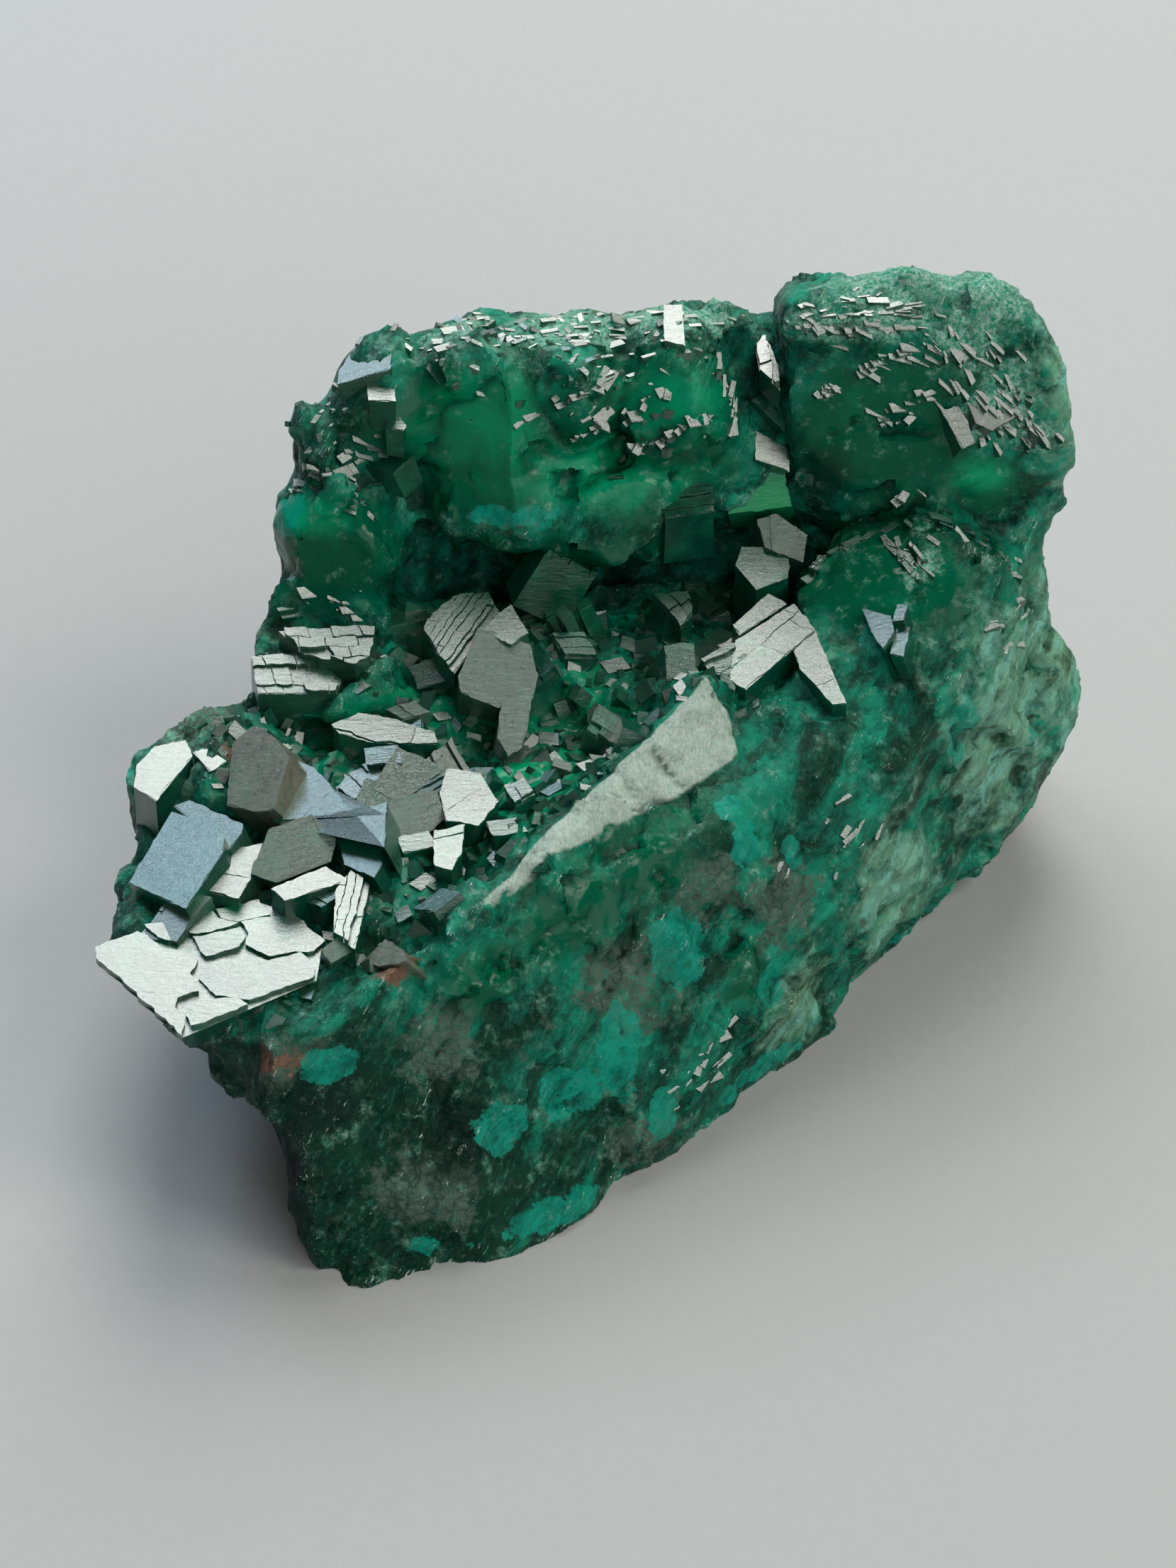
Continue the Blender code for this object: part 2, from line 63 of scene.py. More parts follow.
# The rough mass
COARSE_VOXEL = 0.5
WAVES = [(7.0, 0.5), (3.0, 0.25)]  # size of a feature and how far it moves the surface
CHIPS = [(6.0, 1.5), (3.0, 1.0)]
SMALL_CHIPS = [(1.5, 0.5), (0.7, 0.28)]
SPLINTERS = (0.8, 0.35)
GRAIN = Vector((0.405, 0.777, 0.481))  # the way the fibres run
FACETS = [(2.6, 0.9), (1.3, 0.25)]

# Crystals
BLOCKY = (3.2, 1.05)  # depth below the flat top, and size at that depth
SHORT = (1.6, 0.9)
PLATY = (2.0, 0.72)
TINY = (0.45, 0.8)
SMALL_CRYSTALS = 36
SMALL_LENGTH = (1.3, 2.8)
CLEAVAGE_ANGLE = math.radians(105)
SEED = 7

# Ways a crystal's flat top can slope: how much it rises to -X and to -Y
FLAT = (0.0, -0.08)
FORWARD = (0.0, -0.2)
LEFT = (-0.32, -0.1)
STEEP_LEFT = (-0.65, -0.25)
FRONT = (0.12, -0.52)
STEEP_FRONT = (0.2, -0.75)
RIGHT = (0.4, -0.73)
LEFT_FRONT = (-0.15, -0.9)

# How a crystal's top is broken: width of a course, length of a plate, depth of the steps
WHOLE = (9.0, 9.0, 0.0)
CRACKED = (2.2, 3.0, 0.06)
STEPPED = (1.15, 2.4, 0.22)
CRUMBLED = (0.75, 0.9, 0.3)
STRIPED = (0.38, 6.0, 0.28)
MOSAIC = (0.0, 0.0, 0.22)  # the plates of TIP_PLATES

# Finish of a crystal's faces: frost, from clear to etched, rust, from none to brown, and light inside
CLEAR = (0.0, 0.0, 0.0)
LIT = (0.0, 0.0, 1.0)
SILKY = (0.3, 0.0, 0.0)
ETCHED = (0.45, 0.0, 0.0)
MATT = (0.7, 0.0, 0.0)
RUSTY = (0.7, 1.0, 0.0)

# Foot of the stone, a little under the cut at Z 0, and the slab that stands on it
FOOT = [
    (-9.7, -17.3, -1), (-5.6, -16.0, -1), (-1.4, -14.6, -1), (2.9, -10.0, -1), (7.2, -5.2, -1),
    (9.8, 0.5, -1), (11.5, 5.2, -1), (15.5, 9.8, -1), (18.4, 11.8, -1), (18.6, 18.5, -1),
    (10.0, 20.4, -1), (-3.0, 20.4, -1), (-10.5, 17.6, -1), (-13.0, 9.0, -1), (-12.5, -2.0, -1),
    (-12.0, -12.0, -1),
]
SLAB = FOOT + [
    (-12.2, -14.7, 3.0), (-13.2, -13.1, 5.0), (-12.9, -13.1, 9.8), (-14.0, -2.0, 10.2), (-14.5, 7.0, 11.0),
    (-12.5, 14.5, 11.5), (-5.2, -8.6, 11.6), (-1.6, -4.4, 12.2), (5.1, 3.4, 13.0), (10.1, 4.0, 13.3),
    (15.9, 5.1, 13.4), (20.8, 13.1, 12.5), (22.0, 12.4, 6.6), (21.7, 12.4, 4.5), (19.9, 12.2, 2.0),
    (20.0, 19.2, 13.0), (20.8, 17.0, 8.0),
]
RIDGE = [
    (-9.0, -11.0, 11.3), (-5.2, -8.5, 12.6), (-1.6, -4.2, 13.6), (5.1, 4.5, 15.2), (6.4, 1.9, 13.1),
    (1.7, -1.3, 12.6), (-3.6, -6.7, 11.8), (-7.0, -7.5, 11.0), (-3.0, -1.5, 11.8), (3.0, 6.6, 12.8),
    (6.5, 6.0, 13.2), (-8.0, -9.0, 9.0), (4.0, 2.0, 10.0),
]
TIP = [
    (-19.8, -5.0, 10.1), (-19.2, -7.2, 10.1), (-15.8, -11.4, 9.9), (-13.0, -13.0, 9.8), (-20.4, -1.6, 9.6),
    (-12.0, -2.0, 10.4), (-13.2, -13.0, 5.2), (-17.6, -6.0, 4.6), (-18.6, 1.5, 9.0), (-16.5, 1.0, 4.0),
    (-12.0, -5.0, 3.0), (-11.0, -12.0, 5.0),
]
LOBE = [
    (-20.6, 3.2, 11.1), (-20.5, 4.7, 11.6), (-18.3, 5.9, 12.4), (-15.1, 7.4, 12.7), (-13.0, 3.0, 12.0),
    (-15.5, -0.8, 11.2), (-19.7, 0.0, 9.8), (-17.6, 1.0, 4.6), (-17.0, 5.0, 4.6), (-12.5, 6.0, 4.0),
    (-12.5, 0.0, 4.0),
]
STEP = [
    (-14.6, 9.5, 13.8), (-14.7, 7.5, 13.4), (-11.0, 5.2, 12.8), (-8.6, 6.6, 13.4), (-9.0, 12.0, 14.2),
    (-13.6, 12.2, 15.6), (-12.6, 15.5, 16.5), (-9.0, 15.0, 14.5), (-14.0, 8.0, 8.0), (-9.0, 6.0, 8.0),
    (-9.0, 14.0, 8.0), (-12.8, 14.0, 8.0),
]
SHOULDER = [
    (8.6, 10.8, 15.5), (12.4, 12.4, 17.5), (14.4, 13.3, 17.8), (19.4, 15.0, 17.8), (20.6, 15.0, 16.4),
    (20.9, 13.2, 12.5), (17.1, 9.1, 15.1), (15.9, 5.3, 14.0), (11.9, 8.4, 14.6), (9.6, 5.0, 13.8),
    (9.0, 11.0, 10.0), (20.0, 15.0, 10.0), (16.0, 6.0, 9.0), (10.5, 5.5, 9.0),
]
WALL = [
    (-12.0, 15.4, 10.0), (8.6, 16.6, 10.0), (-10.8, 17.4, 21.8), (-9.6, 17.2, 23.2), (-5.4, 17.0, 24.9),
    (-1.0, 16.8, 25.0), (3.8, 17.0, 25.6), (7.4, 17.5, 24.6), (-9.6, 20.0, 20.5), (-4.0, 20.4, 22.8),
    (8.0, 20.9, 23.0), (-10.8, 18.0, 0.0), (8.5, 20.4, 0.0),
]
CORNER = [
    (8.5, 15.4, 26.2), (9.0, 14.7, 18.0), (11.5, 14.2, 16.6), (15.7, 14.5, 17.1), (20.2, 14.2, 17.6),
    (12.0, 15.3, 26.2), (15.4, 15.0, 24.4), (17.5, 14.6, 21.3), (8.6, 17.3, 26.6), (12.5, 17.5, 27.8),
    (17.0, 17.7, 27.4), (18.4, 17.4, 27.0), (19.2, 17.0, 26.2), (21.0, 15.9, 22.0), (21.4, 15.0, 20.4),
    (8.6, 20.4, 24.6), (12.5, 20.6, 25.6), (18.4, 20.0, 24.6), (19.2, 19.0, 1.0), (8.6, 20.4, 1.0),
    (20.6, 16.0, 12.0), (9.5, 17.0, 12.0),
]
BLOCKS = [SLAB, RIDGE, TIP, LOBE, STEP, SHOULDER, WALL, CORNER]

# Rounded lumps of the back wall, and flatter ones behind it: centre and three radii
LUMPS = [
    ((-10.9, 13.4, 16.6), (3.2, 3.4, 2.9)),
    ((-10.3, 15.4, 19.2), (2.8, 3.0, 3.4)),
    ((-8.7, 16.2, 21.1), (3.1, 3.0, 3.2)),
    ((-4.8, 15.7, 21.2), (2.9, 3.2, 4.3)),
    ((-3.6, 14.6, 17.6), (3.6, 3.2, 2.7)),
    ((0.6, 14.8, 17.0), (4.2, 3.2, 2.7)),
    ((-0.8, 16.3, 22.2), (3.0, 2.9, 3.2)),
    ((3.8, 16.3, 21.9), (2.8, 3.2, 3.7)),
    ((4.9, 16.8, 18.2), (3.0, 2.8, 3.0)),
    ((-5.0, 18.6, 8.5), (5.5, 2.8, 5.0)),
    ((4.5, 19.4, 5.5), (5.0, 2.0, 4.0)),
    ((13.5, 18.9, 15.5), (5.0, 2.4, 6.0)),
    ((1.5, 19.3, 16.5), (4.5, 2.0, 4.5)),
]

# Pits in the rough front: centre, radius and depth
PITS = [
    ((-3.0, -13.5, 4.5), 2.4, 1.1),
    ((8.5, 1.6, 9.6), 2.2, 0.9),
    ((3.0, -5.0, 6.5), 2.6, 0.6),
    ((-8.5, -14.5, 6.5), 2.4, 0.7),
    ((14.5, 5.0, 7.0), 2.0, 0.6),
]

# Smooth places, where the stone broke cleanly: centre and radius
CLEAN_BREAKS = [
    ((1.5, -0.5, 13.6), 7.0),
    ((-10.5, 11.0, 16.0), 4.0),
    ((12.5, 9.5, 16.0), 4.5),
    ((12.5, 14.6, 21.5), 6.5),
]

# Planes that it broke along: a place on the plane, the way the plane faces, and how far it reaches
FLAT_BREAKS = [
    ((12.0, 9.9, 16.1), (-0.2, -0.43, 0.88), 3.8),
    ((-11.2, 10.5, 16.0), (-0.2, -0.95, 0.2), 3.6),
    ((-3.3, 12.9, 21.6), (-0.42, -0.88, 0.24), 4.0),
    ((-3.3, 12.9, 21.6), (0.46, -0.85, 0.26), 3.6),
    ((3.8, 13.5, 22.6), (-0.25, -0.9, 0.35), 3.2),
    ((1.2, 12.2, 18.4), (0.1, -0.93, 0.36), 3.6),
    ((12.2, 14.7, 20.6), (-0.06, -0.97, 0.22), 5.2),
    ((17.6, 14.4, 19.0), (0.16, -0.96, 0.1), 3.4),
    ((0.0, 20.6, 14.0), (-0.15, 0.97, 0.15), 5.6),
    ((8.0, 20.9, 9.0), (0.3, 0.93, -0.1), 5.2),
    ((-9.1, 19.5, 9.1), (-0.5, 0.85, 0.1), 5.4),
    ((15.0, 20.9, 18.0), (0.1, 0.95, 0.25), 5.6),
    ((-13.6, 5.0, 6.0), (-0.95, -0.1, 0.1), 3.6),
    ((20.2, 16.5, 10.0), (0.96, 0.2, 0.0), 3.6),
]

# Large crystals: corners of the flat top, height of its middle, slope, form, breakage and finish
CRYSTALS = [
    # The ledge's left end
    ([(-20.4, -8.1), (-18.7, -7.2), (-13.8, -5.4), (-12.3, -6.1), (-11.0, -7.8), (-11.2, -9.9),
      (-14.0, -11.2), (-16.6, -13.1), (-18.2, -11.2), (-20.3, -8.8)],
     11.0, FLAT, PLATY, MOSAIC, CLEAR),
    ([(-19.3, -4.5), (-17.7, -0.9), (-15.7, -2.4), (-15.3, -3.2), (-15.3, -4.1), (-16.7, -6.9)],
     12.3, LEFT, BLOCKY, WHOLE, CLEAR),
    ([(-17.7, 0.0), (-17.0, 0.1), (-14.6, -2.1), (-14.6, -2.6), (-15.1, -3.4), (-16.2, -1.3)],
     12.2, LEFT, BLOCKY, WHOLE, ETCHED),
    ([(-15.7, -3.3), (-14.7, -2.9), (-13.6, -2.6), (-13.5, -3.3), (-14.2, -4.5), (-14.6, -5.9),
      (-15.9, -5.5)],
     11.9, FLAT, BLOCKY, CRACKED, ETCHED),
    ([(-13.4, -3.0), (-11.6, -2.3), (-10.6, -3.0), (-10.8, -3.8), (-13.0, -4.8), (-14.1, -4.6)],
     12.4, STEEP_FRONT, BLOCKY, WHOLE, SILKY),
    ([(-13.2, -5.8), (-11.0, -4.5), (-10.0, -5.3), (-12.6, -6.5)],
     12.2, FLAT, BLOCKY, WHOLE, CLEAR),
    ([(-13.5, 0.6), (-12.8, 2.0), (-11.7, 1.0), (-8.5, -2.2), (-8.5, -4.7), (-11.3, -2.0), (-13.3, -1.7)],
     13.0, LEFT, BLOCKY, WHOLE, ETCHED),
    ([(-10.8, -1.9), (-8.7, -3.9), (-8.6, -5.0), (-8.9, -5.6), (-10.2, -4.4)],
     12.6, LEFT, BLOCKY, WHOLE, CLEAR),
    ([(-15.3, 2.8), (-14.4, 3.2), (-13.4, 2.0), (-12.7, 0.5), (-13.5, -0.3), (-13.3, -1.7), (-14.1, -1.4),
      (-15.4, -0.3)],
     13.2, STEEP_LEFT, BLOCKY, WHOLE, RUSTY),
    ([(-18.7, 3.1), (-17.4, 3.5), (-17.0, 2.5), (-17.7, 1.4), (-18.4, -0.2), (-19.4, 0.7), (-19.3, 2.0)],
     12.4, FLAT, BLOCKY, WHOLE, CLEAR),
    ([(-17.0, 2.6), (-16.3, 2.8), (-15.5, 2.0), (-16.2, 1.4)],
     12.6, FLAT, SHORT, WHOLE, CLEAR),
    ([(-9.9, -4.8), (-9.1, -5.5), (-9.6, -9.1), (-10.5, -8.4), (-10.5, -6.0)],
     12.2, FLAT, BLOCKY, STRIPED, CLEAR),
    ([(-11.0, -9.0), (-10.1, -8.2), (-9.7, -8.5), (-9.7, -8.9), (-10.6, -9.5)],
     11.6, FRONT, BLOCKY, WHOLE, MATT),
    # The middle and the back of the ledge
    ([(-6.0, 1.0), (-4.6, 0.8), (-3.8, -1.0), (-4.6, -2.4), (-6.0, -2.1), (-6.3, -0.4)],
     12.9, FLAT, BLOCKY, CRACKED, CLEAR),
    ([(-6.5, -2.8), (-5.2, -2.4), (-5.3, -4.0), (-5.7, -5.0), (-6.4, -4.8)],
     12.7, FLAT, BLOCKY, CRACKED, CLEAR),
    ([(-8.4, -1.2), (-6.4, -0.6), (-6.1, -1.6), (-6.7, -2.1), (-8.2, -2.5)],
     12.6, STEEP_FRONT, BLOCKY, WHOLE, SILKY),
    ([(-11.0, 4.0), (-9.9, 4.7), (-8.4, 4.4), (-6.6, 3.5), (-6.5, 2.8), (-7.9, 2.8), (-9.3, 2.9),
      (-10.7, 3.5)],
     13.0, FLAT, BLOCKY, CRACKED, CLEAR),
    ([(-13.5, 8.3), (-9.3, 8.4), (-9.5, 6.7), (-10.1, 6.3), (-12.4, 7.0)],
     14.8, FORWARD, BLOCKY, CRUMBLED, ETCHED),
    ([(-14.7, 7.4), (-12.3, 7.6), (-10.7, 6.2), (-10.9, 5.4), (-14.3, 5.4)],
     14.0, FORWARD, BLOCKY, CRUMBLED, ETCHED),
    ([(-7.2, 8.8), (-6.8, 9.7), (-5.9, 10.6), (-4.4, 10.8), (-3.9, 9.9), (-4.9, 8.5), (-5.3, 7.5),
      (-5.8, 6.4), (-6.5, 7.3)],
     14.6, FORWARD, BLOCKY, STRIPED, CLEAR),
    ([(-4.7, 8.1), (-3.9, 9.2), (-3.4, 9.7), (-2.6, 8.1), (-3.3, 7.5)],
     14.9, FORWARD, BLOCKY, WHOLE, CLEAR),
    ([(-4.8, 8.2), (-3.3, 7.9), (-2.5, 7.7), (-2.2, 6.4), (-2.4, 5.4), (-3.9, 4.9), (-5.5, 5.4), (-5.6, 6.1)],
     14.0, FRONT, BLOCKY, WHOLE, MATT),
    ([(-3.7, 4.4), (-2.4, 4.8), (-2.6, 3.3), (-2.9, 2.5), (-3.4, 2.1), (-3.9, 2.8)],
     13.4, FRONT, BLOCKY, WHOLE, MATT),
    ([(-1.5, 9.9), (-1.1, 10.4), (-0.7, 9.7), (-1.1, 9.3)],
     14.6, LEFT, BLOCKY, WHOLE, ETCHED),
    ([(-0.6, 10.4), (0.0, 10.7), (0.2, 10.1), (-0.4, 9.9)],
     14.7, LEFT, BLOCKY, WHOLE, CLEAR),
    # The ledge's right end and the shoulder
    ([(7.9, 10.1), (8.7, 9.5), (6.6, 7.7), (6.3, 8.3)],
     15.2, FORWARD, BLOCKY, WHOLE, CLEAR),
    ([(6.4, 7.2), (9.0, 9.3), (9.9, 7.8), (8.8, 6.8), (7.3, 5.5), (6.8, 4.5), (6.1, 5.1)],
     15.0, FORWARD, BLOCKY, CRACKED, CLEAR),
    ([(9.9, 7.7), (10.3, 6.0), (11.1, 3.7), (10.5, 3.7), (9.2, 5.6), (8.9, 6.6)],
     14.8, FORWARD, BLOCKY, CRACKED, CLEAR),
    ([(6.8, 13.0), (7.9, 12.9), (8.9, 12.4), (8.8, 11.2), (8.0, 10.9), (7.4, 10.5), (6.5, 11.9)],
     15.6, FORWARD, BLOCKY, WHOLE, CLEAR),
    ([(7.5, 13.8), (8.4, 14.1), (9.7, 13.3), (9.5, 12.1), (9.0, 12.3), (7.8, 12.6)],
     16.2, FRONT, BLOCKY, WHOLE, MATT),
    ([(2.9, 11.1), (4.4, 11.4), (4.6, 10.2), (4.1, 9.4)],
     14.5, FORWARD, BLOCKY, CRUMBLED, CLEAR),
    ([(11.9, 8.5), (13.1, 7.6), (13.2, 6.6), (12.7, 5.7), (12.2, 7.1)],
     16.0, LEFT, BLOCKY, CRACKED, CLEAR),
    ([(13.4, 8.1), (13.8, 7.8), (13.6, 7.0), (13.2, 7.1)],
     16.4, LEFT, SHORT, WHOLE, CLEAR),
    ([(13.4, 7.3), (13.9, 7.0), (13.5, 5.3), (13.0, 5.6)],
     15.8, LEFT, SHORT, WHOLE, CLEAR),
    # Under the wall, in its notch and on its crest
    ([(3.0, 12.9), (3.7, 13.6), (5.5, 13.8), (5.5, 12.3), (3.4, 11.9)],
     18.6, FORWARD, BLOCKY, STRIPED, CLEAR),
    ([(6.2, 14.1), (7.4, 15.4), (8.7, 15.3), (9.0, 14.1)],
     17.6, LEFT_FRONT, BLOCKY, WHOLE, LIT),
    ([(7.3, 18.0), (7.8, 18.2), (8.3, 16.5), (8.4, 15.0), (7.5, 16.2)],
     23.4, FORWARD, SHORT, CRUMBLED, CLEAR),
    ([(7.2, 16.5), (7.9, 17.0), (8.4, 16.6), (8.7, 15.7)],
     20.9, RIGHT, SHORT, WHOLE, CLEAR),
    ([(7.4, 15.9), (8.9, 15.6), (8.9, 14.8), (7.4, 14.8)],
     19.3, RIGHT, SHORT, WHOLE, CLEAR),
    ([(3.3, 17.4), (4.1, 17.4), (4.2, 14.6), (3.3, 14.9)],
     25.6, FLAT, SHORT, WHOLE, ETCHED),
    ([(-9.7, 15.0), (-8.5, 14.8), (-8.3, 13.3), (-9.5, 13.4)],
     23.5, FLAT, SHORT, WHOLE, CLEAR),
    ([(-8.8, 13.0), (-8.6, 13.8), (-8.3, 13.9), (-7.9, 13.2), (-8.0, 12.8)],
     22.3, FLAT, SHORT, WHOLE, CLEAR),
    ([(-10.9, 14.4), (-10.8, 15.3), (-9.9, 17.2), (-9.1, 17.1), (-8.5, 16.5), (-8.6, 14.5), (-9.6, 15.2)],
     24.1, LEFT, SHORT, WHOLE, ETCHED),
    ([(-9.8, 13.5), (-9.0, 13.8), (-8.0, 13.7), (-7.6, 13.2), (-8.5, 12.4)],
     20.3, LEFT, SHORT, WHOLE, CLEAR),
    ([(15.4, 14.5), (16.2, 14.7), (16.9, 13.5), (16.3, 13.2)],
     21.6, STEEP_FRONT, SHORT, WHOLE, ETCHED),
    ([(16.5, 14.9), (17.1, 15.2), (18.8, 14.6), (17.6, 13.9), (16.9, 14.1)],
     22.0, STEEP_FRONT, SHORT, WHOLE, MATT),
    # Brown ones along the ridge
    ([(-9.2, -8.7), (-8.4, -8.2), (-7.6, -9.2), (-7.4, -9.9), (-8.6, -9.4)],
     11.4, STEEP_LEFT, SHORT, WHOLE, RUSTY),
    ([(-5.9, -6.9), (-4.9, -6.7), (-4.8, -7.2), (-5.7, -7.4)],
     12.6, STEEP_LEFT, SHORT, WHOLE, RUSTY),
]

# The plates that the top of the ledge's outermost crystal is broken into
TIP_PLATES = [
    [(-20.4, -8.1), (-18.7, -7.2), (-17.6, -8.2), (-16.7, -8.3), (-16.1, -8.9), (-16.4, -9.6),
     (-16.0, -10.6), (-16.8, -11.0), (-16.9, -11.6), (-16.5, -12.3), (-16.5, -13.1), (-18.2, -11.2),
     (-20.3, -8.8)],
    [(-18.5, -6.9), (-17.2, -6.6), (-16.8, -7.6), (-17.4, -7.8), (-17.9, -7.6)],
    [(-17.1, -6.6), (-15.7, -6.1), (-15.4, -6.5), (-14.6, -6.8), (-15.6, -7.3), (-16.6, -7.4)],
    [(-15.6, -6.0), (-13.8, -5.4), (-13.2, -6.3), (-14.6, -6.7), (-15.3, -6.5)],
    [(-14.5, -6.7), (-13.2, -6.4), (-12.3, -6.2), (-11.0, -7.8), (-11.4, -8.4), (-12.2, -8.4),
     (-13.2, -8.7), (-14.2, -8.0), (-14.1, -7.4)],
    [(-16.5, -7.6), (-14.5, -7.1), (-14.2, -7.6), (-14.4, -8.1), (-15.8, -8.7)],
    [(-15.3, -8.8), (-13.7, -8.6), (-13.2, -8.9), (-11.9, -8.4), (-11.3, -9.3), (-11.3, -9.9),
     (-13.9, -11.1), (-15.3, -10.8), (-16.0, -9.9), (-16.0, -9.1)],
    [(-16.5, -11.8), (-15.6, -11.1), (-14.3, -11.0), (-13.9, -11.4), (-16.2, -12.6)],
]

# The part of the ledge, seen from above, where small crystals grow
DRUSE = [
    (-16.5, -11.0), (-12.4, -12.0), (-5.4, -7.6), (-2.0, -3.6), (4.6, 5.2), (9.0, 5.0), (8.6, 12.0),
    (6.5, 14.0), (-7.5, 13.0), (-13.5, 8.0), (-18.5, 4.0), (-18.0, -4.0),
]

# The fibrous break on the front of the ridge, seen from above, and the line where its painted sheen begins to fade
SATIN_BREAK = [(5.1, 4.5), (5.9, 3.7), (6.5, 1.5), (3.0, -1.2), (-3.6, -6.9), (-5.4, -8.4)]
SATIN_FOOT = ((-5.6, -8.4), (6.7, 1.7))

# Rows of tiny bright crystals: start, end, how far they stray, and their number
TRAILS = [
    ((10.2, 15.1, 22.4), (14.1, 15.2, 24.7), 0.1, 34),
    ((14.1, 15.2, 24.7), (15.3, 15.0, 25.0), 0.25, 12),
    ((8.9, 15.6, 25.6), (14.5, 16.0, 26.4), 0.5, 70),
    ((15.8, 15.4, 25.2), (19.4, 14.8, 21.0), 0.9, 60),
    ((16.8, 14.7, 22.0), (19.8, 14.6, 20.4), 0.4, 26),
    ((12.8, 14.8, 21.2), (15.2, 14.8, 22.6), 0.3, 16),
    ((9.6, 10.9, 15.9), (14.1, 13.6, 18.1), 0.08, 34),
    ((13.2, 11.6, 17.4), (14.6, 10.0, 16.5), 0.22, 26),
    ((14.8, 12.6, 17.6), (18.6, 11.4, 15.6), 0.7, 30),
    ((-1.0, 12.4, 21.0), (3.4, 13.8, 23.8), 0.2, 26),
    ((0.8, 12.6, 20.4), (4.8, 13.2, 22.4), 0.12, 18),
    ((-2.5, 12.6, 22.6), (1.5, 14.2, 24.4), 0.3, 20),
    ((-7.0, 16.0, 24.4), (5.4, 16.4, 25.2), 0.8, 60),
    ((-12.2, 13.0, 19.4), (-8.6, 13.2, 20.8), 0.4, 34),
    ((-12.8, 13.4, 18.6), (-9.8, 12.0, 18.4), 0.2, 18),
    ((6.4, 15.4, 24.6), (7.0, 14.9, 21.0), 0.25, 16),
    ((-14.0, 9.0, 14.8), (-10.0, 9.2, 15.0), 0.35, 16),
    ((3.6, -8.2, 2.6), (6.2, -6.4, 4.2), 0.6, 20),
    ((9.6, -2.6, 9.4), (12.6, 1.6, 11.4), 0.9, 12),
    ((15.4, 8.6, 13.6), (18.8, 9.4, 15.0), 0.6, 14),
    ((-13.6, 2.0, 9.5), (-13.4, 8.0, 10.5), 0.6, 20),
]

# Patches that differ from the plain green: centre, and how far the patch reaches in X, Y and Z
TEAL = [
    ((3.8, -5.7, 8.7), (2.4, 2.6, 2.6)),
    ((1.3, -8.8, 5.8), (1.6, 2.4, 3.8)),
    ((-1.0, -10.1, 4.7), (2.4, 2.4, 1.8)),
    ((3.2, -9.3, 2.5), (1.2, 1.6, 2.2)),
    ((-3.6, -12.3, 4.5), (1.9, 1.9, 1.9)),
    ((7.8, -3.4, 4.8), (1.0, 1.6, 3.4)),
    ((6.7, -2.0, 11.2), (1.2, 1.4, 2.0)),
    ((-10.6, -12.6, 8.5), (2.4, 2.0, 1.2)),
    ((6.0, -1.1, 12.6), (1.1, 1.1, 0.9)),
    ((8.7, -1.1, 10.0), (0.9, 1.0, 1.5)),
    ((-0.6, -13.6, 0.8), (5.0, 3.0, 0.9)),
    ((7.4, -5.2, 0.8), (4.0, 4.0, 0.9)),
    ((16.4, 5.8, 11.0), (1.3, 1.6, 3.6)),
    ((20.4, 8.6, 10.2), (1.4, 2.4, 5.0)),
    ((3.0, 20.8, 9.0), (1.8, 2.0, 2.6)),
    ((-10.4, 17.4, 5.0), (2.2, 2.2, 2.2)),
    ((17.4, 19.8, 7.0), (1.6, 2.2, 2.8)),
    ((-14.0, 1.0, 4.6), (1.6, 2.4, 1.8)),
    ((13.6, 6.0, 0.8), (5.0, 4.0, 1.0)),
    ((-13.4, 12.4, 18.4), (1.6, 2.4, 2.2)),
    ((-2.9, 12.6, 18.0), (3.4, 1.5, 1.0)),
    ((-20.6, 3.4, 10.4), (1.2, 3.0, 1.8)),
    ((-6.0, -16.4, 1.0), (4.5, 2.0, 1.2)),
    ((12.6, 7.6, 14.8), (1.2, 1.6, 1.2)),
]
BROWN = [
    ((1.6, -7.1, 8.2), (3.4, 3.4, 3.6)),
    ((8.4, -2.7, 8.7), (3.0, 3.2, 4.0)),
    ((5.0, -3.5, 10.3), (2.6, 2.2, 2.2)),
    ((-6.2, -11.0, 8.2), (3.2, 2.4, 2.8)),
    ((-6.5, -14.8, 3.4), (3.6, 2.4, 3.2)),
    ((-12.6, -13.2, 9.2), (4.0, 2.4, 1.6)),
    ((-2.9, 12.9, 17.4), (1.8, 1.6, 1.4)),
    ((-17.0, 5.2, 12.0), (3.5, 2.6, 1.4)),
    ((2.5, -9.6, 1.6), (3.0, 2.6, 2.0)),
    ((6.0, 20.5, 5.5), (5.5, 3.0, 4.4)),
    ((-4.0, 20.0, 20.4), (4.4, 3.0, 3.2)),
    ((11.6, 20.6, 12.6), (3.6, 2.6, 3.8)),
    ((-12.4, 12.0, 8.0), (3.0, 4.0, 4.0)),
]
# Painted shade in recesses, under the overhang of the wall and low on the front
PAINTED_SHADE_PATCHES = [
    ((-5.2, -13.0, 4.8), (2.8, 2.8, 2.8)),
    ((-11.3, -13.4, 7.4), (3.0, 2.4, 3.0)),
    ((2.6, -6.6, 6.2), (2.0, 1.8, 1.6)),
    ((-12.5, -13.5, 3.4), (3.6, 3.4, 3.6)),
    ((-2.0, 13.0, 14.6), (13.0, 3.5, 2.6)),
    ((10.0, 13.5, 18.5), (3.0, 3.0, 2.6)),
    ((9.4, 20.5, 16.4), (3.0, 2.6, 3.4)),
    ((-5.0, 20.6, 3.6), (3.6, 2.6, 2.4)),
]
